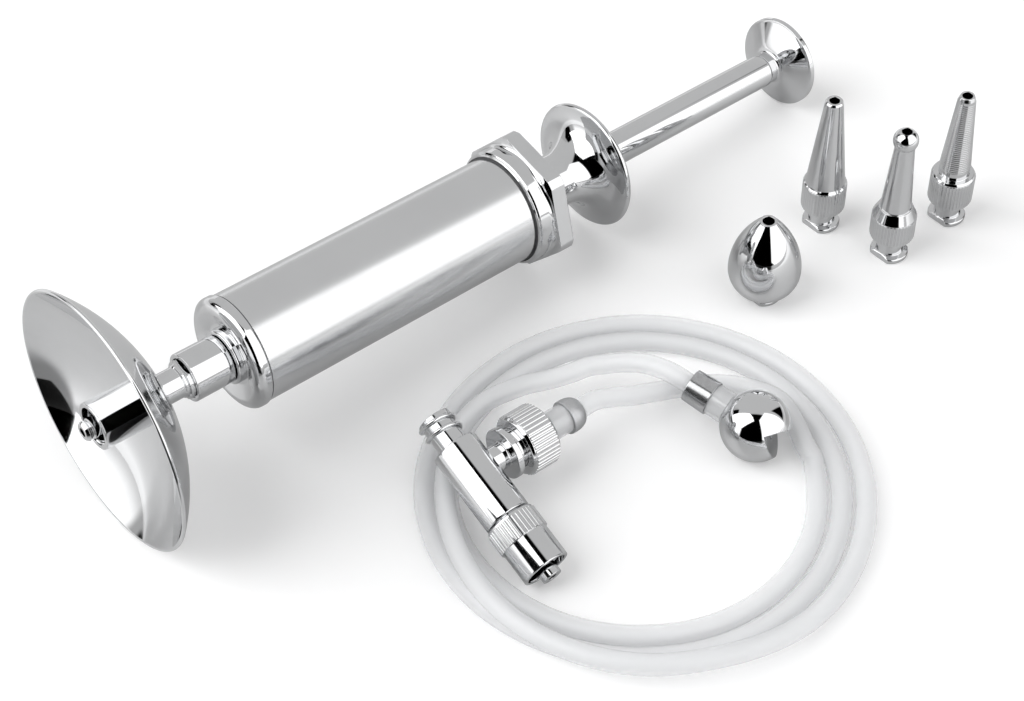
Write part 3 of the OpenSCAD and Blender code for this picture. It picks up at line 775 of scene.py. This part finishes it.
# The camera is set for a frame of this many pixels, with its axis through AIM_PIXEL.
FRAME_WIDTH, FRAME_HEIGHT = 1024, 701
FOCAL_PIXELS = 1979.41
AIM_PIXEL = (484.72, 328.34)
CAMERA_PLACE = (-0.17023, -0.20382, 0.2999)
CAMERA_AZIMUTH, CAMERA_ELEVATION, CAMERA_ROLL = -37.27, 48.06, -3.64
SENSOR = 36.0


def glowing(graph, strength):
    return graph.value("ShaderNodeEmission", {}, {"Color": WHITE, "Strength": strength})


def ray_kinds(graph):
    """Masks of the rays that look straight at the stage, and of those mirrored to it."""
    rays = graph.add("ShaderNodeLightPath")
    kinds = ("Is Camera Ray", "Is Transmission Ray", "Is Glossy Ray")
    camera, through, mirrored = (Value(graph, rays.outputs[kind]) for kind in kinds)
    return camera.math("MAXIMUM", through), mirrored


def staged(name, corners, faces, look_name):
    """A stage object of flat faces, and the node tree of its new material."""
    mesh = bpy.data.meshes.new(name)
    mesh.from_pydata(corners, [], faces)
    made = linked(name, mesh)
    look = bpy.data.materials.new(look_name)
    mesh.materials.append(look)
    return made, look, Graph(look)


class SYRINGE_OT_stage(bpy.types.Operator):
    """Set the camera, the floor and the soft studio light"""

    bl_idname = "syringe.stage"
    bl_label = "Studio and camera"

    def execute(self, context):
        scene = context.scene
        studio = scene.studio_look
        scene.view_settings.view_transform = "Standard"
        self.camera(scene)
        self.floor(studio)
        self.softbox(studio)
        self.world(scene, studio)
        return {"FINISHED"}

    def camera(self, scene):
        roll = math.radians(CAMERA_ROLL)
        back = heading(CAMERA_AZIMUTH - 90, CAMERA_ELEVATION)
        level = Vector((0, 0, 1)).cross(back).normalized()
        above = back.cross(level)
        right = level * math.cos(roll) + above * math.sin(roll)
        up = above * math.cos(roll) - level * math.sin(roll)
        data = bpy.data.cameras.new("camera")
        data.sensor_width = SENSOR
        data.lens = SENSOR * FOCAL_PIXELS / FRAME_WIDTH
        data.shift_x = (FRAME_WIDTH / 2 - AIM_PIXEL[0]) / FRAME_WIDTH
        data.shift_y = (AIM_PIXEL[1] - FRAME_HEIGHT / 2) / FRAME_WIDTH
        data.clip_start = 0.01
        data.clip_end = 20.0
        made = linked("camera", data)
        turn = Matrix((right, up, back)).transposed().to_4x4()
        made.matrix_world = Matrix.Translation(CAMERA_PLACE) @ turn
        scene.camera = made

    def floor(self, studio):
        """White paper. In the metal it ends in painted black past the shield, and has painted shade
        close by.
        """
        half, low = 4.0, -0.00005
        corners = [(x * half, y * half, low) for x, y in ((-1, -1), (1, -1), (1, 1), (-1, 1))]
        graph = staged("floor", corners, [(0, 1, 2, 3)], "floor_paper")[2]
        grain = graph.noise(graph.objects(), 300.0, 4.0)
        seen, mirrored = ray_kinds(graph)
        where = graph.add("ShaderNodeSeparateXYZ", {}, {0: graph.objects()})
        x, y = (Value(graph, where.outputs[i]) for i in (0, 1))
        front, beside = heading(-127.3, 0), heading(-82.8, 0)
        # Painted black where the floor mirrored in the metal lies far out, past the shield.
        edge = (x * front.x + y * front.y).ramp(0.125, 0.15)
        edge = edge.math("MAXIMUM", (-0.1445 - x).ramp(0.0, 0.002))
        # The painted black starts at a line from the shield's rim, with a band of painted shade
        # before it.
        below = (x + 0.152) * beside.x + (y - 0.026) * beside.y
        painted_shade_strip = below.ramp(-0.006, -0.002) * (-0.115 - x).ramp(0.0, 0.015) * 0.55
        edge = (edge * below.ramp(0.0, 0.003)).math("MAXIMUM", painted_shade_strip)
        # Painted shade on the floor close round the set, seen only in the metal.
        near = 1 - (x * x + y * y).ramp(0.014, 0.04)
        painted_dark = 1 - (1 - edge) * (1 - 0.44 * near)
        in_metal = mirrored * (1 - seen)
        # Where a ray comes from the metal, the sheet's colour goes towards black by the painted
        # black and painted shade.
        paper = 1 - painted_dark * in_metal
        shade = studio.floor_shade * seen + studio.table_shade * in_metal * paper
        sheet = graph.mix(grain, (0.9, 0.9, 0.902, 1.0), (0.88, 0.88, 0.882, 1.0))
        sockets = {"Base Color": graph.mix(paper, BLACK, sheet), "Roughness": 0.28, "IOR": 1.5}
        lit = graph.value("ShaderNodeBsdfPrincipled", {}, sockets)
        graph.surface(graph.value("ShaderNodeAddShader", {}, {0: glowing(graph, shade), 1: lit}))

    def softbox(self, studio):
        """The light on the left stands close by, so each piece mirrors it from its own side."""
        corners = [
            (-0.232, 0.023, 0.006), (-0.228, 0.016, 0.048), (-0.148, -0.122, 0.367),
            (-0.194, -0.048, 0.676), (-0.264, 0.257, 1.135), (-0.668, 1.285, 0.38),
            (-0.365, 0.172, 0.09),
        ]
        faces = [(1, 2, 3), (0, 1, 3), (0, 3, 4), (0, 4, 6), (4, 5, 6)]
        made, look, graph = staged("softbox", corners, faces, "softbox_cloth")
        for rays in ("camera", "diffuse", "transmission", "shadow"):
            setattr(made, "visible_" + rays, False)
        graph.surface(glowing(graph, studio.left_panel))
        look.cycles.emission_sampling = "NONE"

    def world(self, scene, studio):
        """A wall behind the set, with panels given by azimuths and elevations, and white beyond."""
        scene.world = bpy.data.worlds.new("studio")
        graph = Graph(scene.world)
        where = graph.value("ShaderNodeTexCoord", output="Generated")

        def facing(direction, low, high):
            dot = {"operation": "DOT_PRODUCT"}
            sockets = {0: where, 1: tuple(direction)}
            return graph.value("ShaderNodeVectorMath", dot, sockets, "Value").ramp(low, high)

        def panel(corners, soft):
            """A soft-edged patch of the sky between corners given counterclockwise."""
            mask = None
            points = [heading(*c) for c in corners]
            for i, here in enumerate(points):
                normal = here.cross(points[(i + 1) % len(points)]).normalized()
                side = facing(normal, -soft, soft)
                mask = side if mask is None else mask * side
            return mask

        seen, mirrored = ray_kinds(graph)
        left = panel([(117, 14), (170, 4), (-155, 64), (132, 72)], 0.012) * (1 - mirrored)
        right = panel([(-117, 4), (-95, -6), (-34, -6), (-30, 68), (-116, 67)], 0.02)
        slot = panel([(-31, 6), (0, 5), (-20, 46)], 0.03)
        skirt = panel([(95, -4), (176, -4), (172, 22), (100, 28)], 0.03)
        gap = panel([(117, -4), (125, 2), (118, 34), (106, 34), (104, 14)], 0.03)
        wall = facing(heading(41.5, 2), -0.05, 0.05)
        shade = wall * studio.wall_shade * (1 - slot) * (1 - gap) * (1 - 0.2 * skirt)
        height = facing(Vector((0, 0, 1)), -0.02, 0.2)
        shade = shade + (0.8 + 0.6 * height) * skirt * (1 - wall)
        shade = shade * (1 - left) * (1 - right) + studio.left_panel * SKY_PANEL * left
        shade = shade + studio.right_panel * right
        sockets = {"Color": WHITE, "Strength": shade * (1 - seen) + seen}
        sky = graph.value("ShaderNodeBackground", {}, sockets)
        graph.surface(sky, "ShaderNodeOutputWorld")


# ---------- pieces of the refill line


class SYRINGE_OT_tubing(bpy.types.Operator):
    """Lay the clear tubing in its coil, from the valve to the weight"""

    bl_idname = "syringe.tubing"
    bl_label = "Tubing"

    def execute(self, context):
        detail = context.scene.syringe_detail
        route = tube_route()
        line = smooth_line(route, 4)
        mesh = hose("tubing", line, TUBE_D / 2 * MM, detail.tubing_bore / 2)
        length = sum((b - a).length for a, b in zip(line, line[1:]))
        solids = ("tube_lead", "tube_coil", "tube_tail")
        tubing = piece("tubing", mesh, clear_tubing(), "clear_tubing", "refill_line", *solids)
        tuple(route[0])
        [tuple(p) for p in route]
        return {"FINISHED"}


LARGE_FACE = 0.5


class SYRINGE_OT_weight(bpy.types.Operator):
    """Build the slotted weight ball, its hose barb and the clear sleeve"""

    bl_idname = "syringe.weight"
    bl_label = "Weight"

    def execute(self, context):
        plated("weight_ball_body", self.ball(), "refill_line", "weight_ball")
        section = [(0.8, 2.6), (1.8, 2.6), (1.8, 6.1, 0), (2.6, 6.1), (2.6, 9.7)]
        section += [(3.5, 9.7, 0.12), (3.3, 14.8, 0.2), (0.8, 14.8)]
        barb = turned("weight_ferrule", WEIGHT, section)
        look = drawn_metal()
        piece("weight_ferrule", barb, look, "plain_metal", "refill_line", "weight_barb")
        sleeved("weight_sleeve", WEIGHT, 2.66, 3.2, 6.2, 9.66)
        return {"FINISHED"}

    def ball(self):
        """A sphere with a flat at the barb, a through hole and a slot like a beak."""
        radius, neck, notch, bore = 6.9, 6.1, -3.3, 0.8
        half_slot, slot_turn, edge = math.radians(48.8), math.radians(45.6), 0.12
        rim = math.degrees(math.acos(neck / radius))
        section = [(bore, neck)] + [
            (radius * math.sin(math.radians(a)), radius * math.cos(math.radians(a)))
            for a in [rim + (173.3 - rim) * i / 72 for i in range(73)]
        ]
        section += [(bore, -radius * math.cos(math.radians(6.66)))]
        upright = Axis((0, 0, 0), (0, 0, 1), (1, 0, 0))
        mesh = turned("weight_ball_body", upright, section, 192, edge)
        mesh.transform(Matrix.Scale(1000, 4))
        solid = linked("ball_blank", mesh)
        far = 12.0
        spread = far * math.tan(half_slot)
        verts = [
            (x, y, z)
            for y in (-far, far)
            for x, z in ((0, notch), (-spread, notch - far), (spread, notch - far))
        ]
        faces = [(0, 1, 2), (3, 5, 4), (0, 3, 4, 1), (1, 4, 5, 2), (2, 5, 3, 0)]
        turn = Matrix.Rotation(slot_turn, 4, "Z")
        cutter = linked("slot_cutter", solid_of("slot_cutter", verts, faces, turn))
        cut = solid.modifiers.new("slot", "BOOLEAN")
        cut.operation = "DIFFERENCE"
        cut.object = cutter
        cut.solver = "EXACT"
        bevel = solid.modifiers.new("edges", "BEVEL")
        bevel.width = edge
        bevel.segments = 3
        bevel.limit_method = "ANGLE"
        bevel.angle_limit = math.radians(40)
        result = evaluated(solid)
        removed(cutter)
        for polygon in result.polygons:
            polygon.use_smooth = True
        result.update()
        on_ball = [abs(v.co.length - radius) < 0.004 for v in result.vertices]
        normals = []
        for polygon in result.polygons:
            whole = all(on_ball[v] for v in polygon.vertices)
            for corner in (result.vertices[v] for v in polygon.vertices):
                if whole:
                    normals.append(corner.co.normalized())
                else:
                    flat = polygon.area > LARGE_FACE
                    normals.append(Vector(polygon.normal if flat else corner.normal))
        result.normals_split_custom_set(normals)
        result.transform(WEIGHT.matrix())
        return result


class SYRINGE_OT_valve(bpy.types.Operator):
    """Build the refill valve: body, locking collar, outlet, side port, nut and barb"""

    bl_idname = "syringe.valve"
    bl_label = "Refill valve"

    def execute(self, context):
        self.body("refill_line")
        self.collar("valve_collar_body", context.scene.syringe_detail.collar_knurls)
        self.barb("refill_line")
        self.nut("union_nut_body", context.scene.syringe_detail.nut_knurls)
        return {"FINISHED"}

    def body(self, ride):
        section = [
            (2.9, 3.8), (4.6, 3.8, 0.3), (4.6, 20.6, 0.35), (3.0, 20.6, 0.25), (3.0, 26.2),
            (3.3, 26.4), (3.3, 27.4, 0.2), (SOCKET_R, 27.4, 0.15), (SOCKET_R, 20.6), (1.2, 20.6),
            (1.2, 12.5), (2.3, 12.5), (2.3, 8.5), (2.9, 8.5),
        ]
        lathed("valve_barrel", VALVE, section, ride, "valve_body")
        thread("valve_inlet_thread", VALVE, 22.9, 1.9, 2.1, 3.35, 0.4, ride)
        section = [
            (1.0, 3.6), (2.6, 3.6), (2.6, 7.0, 0.3), (5.1, 7.0, 0.2), (5.1, 8.3, 0.25), (4.0, 8.3),
            (4.0, 11.4), (2.2, 11.4), (2.2, 7.3), (1.0, 7.3),
        ]
        lathed("valve_port", PORT, section, ride)
        section = [
            (0.9, -9.7), (PIN_R, -9.7, 0.12), (PIN_R, 0.8), (3.3, 0.8), (3.3, 1.8), (2.9, 1.8),
            (2.9, 8.4), (0.9, 8.4),
        ]
        lathed("valve_outlet", VALVE, section, ride, "outlet_luer")

    def collar(self, ride, ridges):
        section = [
            (4.05, -7.9, 0.15), (4.75, -7.9, 0.25), (4.75, -1.3), (4.9, -1.3, 0.15), (4.9, 3.0),
            (4.85, 3.4, 0.15), (2.95, 3.4), (2.95, 2.0), (3.5, 2.0), (3.5, -0.6), (4.05, -0.6),
        ]
        lathed("valve_lock", VALVE, section, ride, "valve_collar")
        knurl("valve_lock_knurl", VALVE, -1.2, 2.9, 4.84, ridges, 0.74, 0.56, ride)
        thread("valve_lock_thread", VALVE, -6.9, 1.6, 2.6, 4.0, 0.3, ride)

    def barb(self, ride):
        section = [
            (1.0, 11.4), (2.2, 11.4), (2.2, 11.9), (4.4, 11.9), (4.4, 13.1), (2.5, 13.1),
            (2.5, 21.98, 0.15), (1.0, 21.98),
        ]
        shank = turned("port_barb", PORT, section)
        section = [(1.0, 22.0), (3.4, 22.0, 0.12)] + arc(2.1, 22.9, 1.32, 2.7, 0, 90, 16)
        dome = turned("port_barb_end", PORT, section + [(1.0, 25.6)])
        piece("port_barb_end", dome, turned_metal(), "plain_metal", ride)
        piece("port_barb", shank, drawn_metal(), "plain_metal", ride, "hose_barb")
        sleeved("port_sleeve", PORT, 2.56, 2.95, 17.25, 21.95)

    def nut(self, ride, ridges):
        section = [
            (4.05, 9.9), (5.6, 9.9, 0.3), (5.95, 10.5, 0.2), (5.95, 15.9, 0.2), (5.3, 16.6, 0.3),
            (4.2, 17.2, 0.2), (2.56, 17.2), (2.56, 13.2), (4.45, 13.2), (4.45, 11.4), (4.05, 11.4),
        ]
        lathed("port_nut", PORT, section, ride, "union_nut")
        knurl("port_nut_knurl", PORT, 10.6, 15.9, 5.92, ridges, 0.78, 0.56, ride)


# ---------- pieces of the syringe

SHIELD_R, SHIELD_BACK, SHIELD_DEPTH, SHIELD_WALL = 26.5, 11.6, 10.9, 0.8
FOOT_R = 5.4
ROD_HOLE_R = 3.65


class SYRINGE_OT_shield(bpy.types.Operator):
    """Build the splash shield with its front nozzle and rear hub"""

    bl_idname = "syringe.shield"
    bl_label = "Splash shield"

    def execute(self, context):
        dish_r = (SHIELD_R**2 + SHIELD_DEPTH**2) / (2 * SHIELD_DEPTH)
        centre = SHIELD_BACK - dish_r
        inner_r = dish_r - SHIELD_WALL
        middle_r = dish_r - SHIELD_WALL / 2
        lip = SHIELD_WALL / 2
        end = math.degrees(math.asin((SHIELD_R - lip) / middle_r))
        hole = 2.6
        back_hole = math.degrees(math.asin(hole / dish_r))
        front_hole = math.degrees(math.asin(hole / inner_r))
        back = arc(0, centre, dish_r, dish_r, 90 - back_hole, 90 - end + 0.1, 60)
        lip_r = middle_r * math.sin(math.radians(end))
        lip_s = centre + middle_r * math.cos(math.radians(end))
        bead = arc(lip_r, lip_s, lip, lip, 88 - end, -88 - end, 16)
        front = arc(0, centre, inner_r, inner_r, 90 - end + 0.1, 90 - front_hole, 60)
        bowl = back + bead + front
        lathed("shield_bowl", SYRINGE, bowl, "shield", "shield_dish", sides=288, edge=0.06)
        foot = centre + math.sqrt(inner_r**2 - FOOT_R**2)
        section = [
            (0.9, -3.6), (1.6, -3.6, 0.3), (2.05, -3.0, 0.12), (2.05, -2.7, 0.05),
            (1.8, -2.55, 0.05), (1.8, -2.15, 0.05), (2.05, -2.0, 0.05), (2.05, 5.0), (3.85, 5.0),
            (3.85, -1.4, 0.12), (4.75, -1.4, 0.3), (4.75, foot - 0.9, 0.3),
            (FOOT_R, foot - 0.9, 0.2), (FOOT_R, foot, 0.05), (2.52, foot), (2.52, 7.4), (0.9, 7.4),
        ]
        lathed("front_nozzle", SYRINGE, section, "shield", "shield_nozzle")
        thread("front_nozzle_thread", SYRINGE, -0.9, 1.5, 2.6, 3.82, 0.3, "shield")
        section = [
            (0.9, 7.5), (2.5, 7.5), (2.5, 11.6, 0), (3.1, 11.77), (3.1, 16.5), (3.35, 16.8),
            (3.35, 17.2), (3.9, 17.3, 0.12), (3.9, 18.9, 0.15), (SOCKET_R, 18.9), (SOCKET_R, 15.6),
            (0.9, 15.6),
        ]
        lugs = lug_shape(17.19, 19.0)
        lathed("shield_socket", SYRINGE, section, "shield", "shield_hub", shape=lugs)
        return {"FINISHED"}


class SYRINGE_OT_nozzle(bpy.types.Operator):
    """Build the nozzle with its locking collar and washers"""

    bl_idname = "syringe.nozzle"
    bl_label = "Nozzle"

    def execute(self, context):
        collar = "nozzle_collar_body"
        section = [
            (4.05, 18.2, 0.12), (4.9, 18.2, 0.25), (4.9, 26.4, 0.25), (2.55, 26.4), (2.55, 24.5),
            (4.05, 24.5),
        ]
        lathed("nozzle_lock", SYRINGE, section, collar, "nozzle_collar")
        thread("nozzle_lock_thread", SYRINGE, 19.2, 1.4, 2.6, 4.0, 0.3, collar)
        section = [
            (0.9, 16.2), (PIN_R, 16.2, 0.2), (PIN_R, 23.5), (3.45, 23.5), (3.45, 24.4), (2.5, 24.4),
            (2.5, 26.6), (3.0, 26.6), (3.0, 32.0), (0.9, 32.0),
        ]
        lathed("barrel_nozzle", SYRINGE, section, "barrel_unit", "nozzle_hub")
        section = [(3.02, 26.6), (5.6, 26.6, 0.5), (5.6, 28.2, 0.05), (3.02, 28.2)]
        lathed("nozzle_rings", SYRINGE, section, "barrel_unit", "nozzle_washer")
        return {"FINISHED"}


class SYRINGE_OT_barrel(bpy.types.Operator):
    """Build the barrel tube with its nose cap"""

    bl_idname = "syringe.barrel"
    bl_label = "Barrel"

    def execute(self, context):
        ride = "barrel_unit"
        section = [(10.2, 30.3), (11.2, 30.3), (11.2, 94.58, 0.08), (10.2, 94.58)]
        tube = turned("barrel_sleeve", SYRINGE, section, 256)
        piece("barrel_sleeve", tube, satin_plate(), "satin_barrel", ride, "barrel_tube")
        section = [(3.02, 28.2), (6.3, 28.2, 0.3), (9.2, 27.2, 0.9)]
        section += arc(9.4, 28.9, 2.1, 1.7, -80, 0, 22)
        section += [
            (11.5, 29.9, 0.2), (11.25, 30.2), (10.15, 30.2), (10.15, 34.0), (9.05, 34.0),
            (9.05, 31.5), (3.02, 31.5),
        ]
        lathed("nose", SYRINGE, section, ride, "nose_cap", sides=224)
        return {"FINISHED"}


class SYRINGE_OT_rear_cap(bpy.types.Operator):
    """Build the hexagonal rear cap and the finger grip"""

    bl_idname = "syringe.rear_cap"
    bl_label = "Rear cap and grip"

    def execute(self, context):
        self.hexagon("barrel_unit")
        self.grip("barrel_unit")
        return {"FINISHED"}

    def hexagon(self, ride):
        """Six flats blended from a round band. The bar stock rounds off the corners."""
        start, low, high, turn = 97.6, 98.6, 102.0, math.radians(42.2)
        root, corner, stock, apothem = 12.3, 15.0, 14.45, 12.95

        def flats(angle, r, s):
            if s < start or r <= root:
                return r
            local = (angle - turn) % math.radians(60) - math.radians(30)
            limit = min(stock, apothem / math.cos(local))
            return root + (r - root) * (limit - root) / (corner - root)

        section = [
            (10.15, 90.4), (10.15, 94.65), (11.5, 94.65, 0.08), (11.95, 94.9, 0.12),
            (11.95, 95.05, 0.05), (root, 95.3, 0.12),
        ]
        section += arc(corner, start, corner - root, low - start, 180, 90, 24)
        section += [(corner, low + (high - low) * i / 3, 0.12) for i in (1, 2, 3)]
        section += [(4.97, high), (4.97, 96.6), (ROD_HOLE_R, 96.6), (ROD_HOLE_R, 90.4)]
        lathed("rear_hexagon", SYRINGE, section, ride, "rear_cap", sides=480, shape=flats)

    def grip(self, ride):
        """A trumpet with a rolled lip, and a vent hole pressed into its neck."""
        vent_angle, vent_station = math.radians(-109), 108.8
        vent_r, vent_edge, vent_depth = 0.5, 0.16, 1.2

        def vent(angle, r, s):
            off = (angle - vent_angle + math.pi) % (2 * math.pi) - math.pi
            away = math.hypot(off * r, s - vent_station)
            inside = min(1.0, max(0.0, (vent_r + vent_edge - away) / vent_edge))
            return r - vent_depth * inside if r < 7 else r

        section = [
            (ROD_HOLE_R, 99.5), (4.93, 99.5), (4.93, 102.0), (6.0, 102.0), (6.0, 102.9, 0.2),
            (5.7, 103.1),
        ]
        section += [(5.7, 107.8 + 0.08 * i) for i in range(21)]
        section += arc(13.2, 109.5, 7.5, 7.5, 180, 91, 44)
        section += arc(13.0, 117.65, 0.65, 0.65, -66, 90, 14)
        section += [(12.2, 118.1, 0.4), (6.5, 117.3, 0.6), (ROD_HOLE_R, 117.5, 0.2)]
        lathed("grip_flange", SYRINGE, section, ride, "finger_grip", sides=320, shape=vent)


class SYRINGE_OT_plunger(bpy.types.Operator):
    """Build the plunger rod and its thumb disc"""

    bl_idname = "syringe.plunger"
    bl_label = "Plunger"

    def execute(self, context):
        section = [
            (0, 79.1), (2.45, 79.1, 0.2), (2.45, 88.8), (3.6, 88.8, 0.15), (3.6, 169.8, 0.15),
            (2.0, 169.8), (2.0, 175.0), (0, 175.0),
        ]
        lathed("plunger_shaft", SYRINGE, section, "plunger", "plunger_rod")
        stud_r, face = 2.02, 176.6
        section = [(stud_r, 169.82), (3.0, 169.82, 0.05), (3.0, 170.1, 0.05), (3.35, 170.2, 0.08)]
        section += arc(4.2, 171.8, 0.85, 0.6, 180, 112, 14)
        section += [
            (4.15 + 5.45 * i / 20, 172.42 + 2.66 * (i / 20) ** 1.12) for i in range(21)
        ]
        section += [(10.0, 175.2, 0.2), (10.0, 176.4, 0.3), (9.3, 176.5, 0.3), (stud_r, face, 0)]
        disc = turned("thumb_plate", SYRINGE, section, 224)
        section = [(0, 175.1), (stud_r, 175.1), (stud_r, face, 0), (0, face)]
        plug = turned("thumb_face", SYRINGE, section)
        plated("thumb_plate", joined("thumb_plate", disc, plug), "plunger", "thumb_disc")
        return {"FINISHED"}


# ---------- tips

BAND_R = 4.45
TIP_BORE_R = 1.05
# One grip ring, as offsets from the cone and parts of the pitch.
RING_SHAPE = ((-0.14, 0), (0.09, 0.12), (-0.14, 0.96))


class SYRINGE_OT_tips(bpy.types.Operator):
    """Build the four spare ear tips"""

    bl_idname = "syringe.tips"
    bl_label = "Ear tips"

    def execute(self, context):
        detail = context.scene.syringe_detail
        self.ridges = detail.tip_knurls
        self.plain()
        self.ball()
        self.ridged(detail.tip_rings)
        self.olive()
        return {"FINISHED"}

    def plain(self):
        upper = [
            (BAND_R, 5.1, 0.5), (BAND_R, 11.7, 0.15), (4.2, 12.0), (4.05, 12.3), (1.85, 33.5, 0.2),
            (1.55, 33.9, 0.15), (TIP_BORE_R, 33.9),
        ]
        self.long_tip("plain_tip", "tip_plain", upper, 5.4, 11.5)

    def ball(self):
        upper = [
            (BAND_R, 5.4, 0.5), (BAND_R, 11.2, 0.12), (3.45, 13.4, 0.12), (3.15, 13.45),
            (2.05, 28.9, 0.15),
        ]
        upper += arc(0, 31.3, 2.55, 2.55, -36, 64, 26) + [(TIP_BORE_R, 33.55, 0.1)]
        self.long_tip("ball_tip", "tip_ball", upper, 5.7, 11.0)

    def ridged(self, count):
        low, high, start_r, taper = 14.6, 32.4, 3.15, 1.4
        pitch = (high - low) / count
        upper = [
            (BAND_R, 5.3, 0.5), (BAND_R, 12.1, 0.3), (4.1, 12.6, 0.2), (start_r, 12.6, 0.15),
            (start_r, 14.5, 0.05),
        ]
        for i in range(count):
            r = start_r - taper * i / count
            s = low + i * pitch
            upper += [(r + out, s + part * pitch, 0) for out, part in RING_SHAPE]
        upper += [(1.7, 32.5), (1.45, 33.3, 0.2), (TIP_BORE_R, 33.3)]
        self.long_tip("ridged_tip", "tip_ridged", upper, 5.6, 11.9)

    def long_tip(self, body, node, upper, low, high):
        """A lugged foot, a knurled band between two stations and the tip's own upper part."""
        axis = standing_axis(node)
        neck = upper[0][1] - 0.9
        section = [(SOCKET_R, 0.0), (3.9, 0.0, 0.25), (3.9, 0.95, 0.3), (2.75, 1.4, 0.2)]
        section += [(2.75, neck, 0.2)] + upper + [(TIP_BORE_R, 7.0), (SOCKET_R, 7.0)]
        lugs = lug_shape(-0.01, 1.34)
        lathed(body + "_shell", axis, section, body, node, sides=192, shape=lugs)
        knurl(body + "_knurl", axis, low, high, 4.37, self.ridges, 0.52, 0.44, body)

    def olive(self):
        """Widest low down, with a round belly and a cone that narrows as a parabola."""
        waist, wide, top, foot, steps = 7.5, 7.4, 1.8, 1.1, 44
        low = -math.degrees(math.acos(3 / wide))
        belly = (waist - foot) / math.sin(math.radians(-low))
        height = 20.7 - waist
        section = [(SOCKET_R, 0.0, 0.1), (3.9, 0.0, 0.2), (3.9, 0.8, 0.2)]
        section += arc(0, waist, wide, belly, low, 0, 30)
        for i in range(1, steps + 1):
            section.append((wide - (wide - top) * (i / steps) ** 2, waist + height * i / steps))
        section += [(1.7, 20.9, 0.15), (1.2, 20.9, 0.1), (1.2, 7.0), (SOCKET_R, 7.0)]
        axis = standing_axis("tip_olive")
        options = {"sides": 224, "edge": 0.08, "shape": lug_shape(-0.01, 0.9)}
        lathed("olive_tip_shell", axis, section, "olive_tip", "tip_olive", **options)


class SYRINGE_OT_inside(bpy.types.Operator):
    """Give the pieces inside the syringe and the valve their finishes"""

    bl_idname = "syringe.inside"
    bl_label = "Inner pieces"

    def execute(self, context):
        rubber = ("nose_gasket", "cap_gasket", "gland_packing", "port_seal")
        rubber += ("piston_oring_front", "piston_oring_rear")
        metal = ("piston_body", "piston_nut", "outlet_ball", "suction_ball")
        for nodes, look in ((rubber, seal_rubber()), (metal, turned_metal())):
            for node in nodes:
                slots = frame["nodes"][node].data.materials
                slots.clear()
                slots.append(look)
        return {"FINISHED"}


class SYRINGE_PT_panel(bpy.types.Panel):
    """Settings and pieces of the ear syringe set"""

    bl_label = "Ear syringe"
    bl_space_type = "VIEW_3D"
    bl_region_type = "UI"
    bl_category = "Ear syringe"

    def draw(self, context):
        for name in SETTINGS:
            box = self.layout.box()
            group = getattr(context.scene, name)
            for field in group.__annotations__:
                box.prop(group, field)
        for operator in OPERATORS:
            self.layout.operator(operator.bl_idname)


OPERATORS = (
    SYRINGE_OT_stage,
    SYRINGE_OT_weight,
    SYRINGE_OT_tubing,
    SYRINGE_OT_shield,
    SYRINGE_OT_nozzle,
    SYRINGE_OT_barrel,
    SYRINGE_OT_rear_cap,
    SYRINGE_OT_plunger,
    SYRINGE_OT_tips,
    SYRINGE_OT_valve,
    SYRINGE_OT_inside,
)
SETTINGS = {
    "syringe_finish": SyringeFinish,
    "syringe_detail": SyringeDetail,
    "studio_look": StudioLook,
}
CLASSES = (*SETTINGS.values(), *OPERATORS, SYRINGE_PT_panel)


def register():
    for item in CLASSES:
        bpy.utils.register_class(item)
    for name, group in SETTINGS.items():
        setattr(bpy.types.Scene, name, bpy.props.PointerProperty(type=group))


def unregister():
    for name in SETTINGS:
        delattr(bpy.types.Scene, name)
    for item in reversed(CLASSES):
        bpy.utils.unregister_class(item)


def main():
    register()
    for operator in OPERATORS:
        group, name = operator.bl_idname.split(".")
        getattr(getattr(bpy.ops, group), name)()
    bpy.context.view_layer.update()


if __name__ == "__main__":
    main()
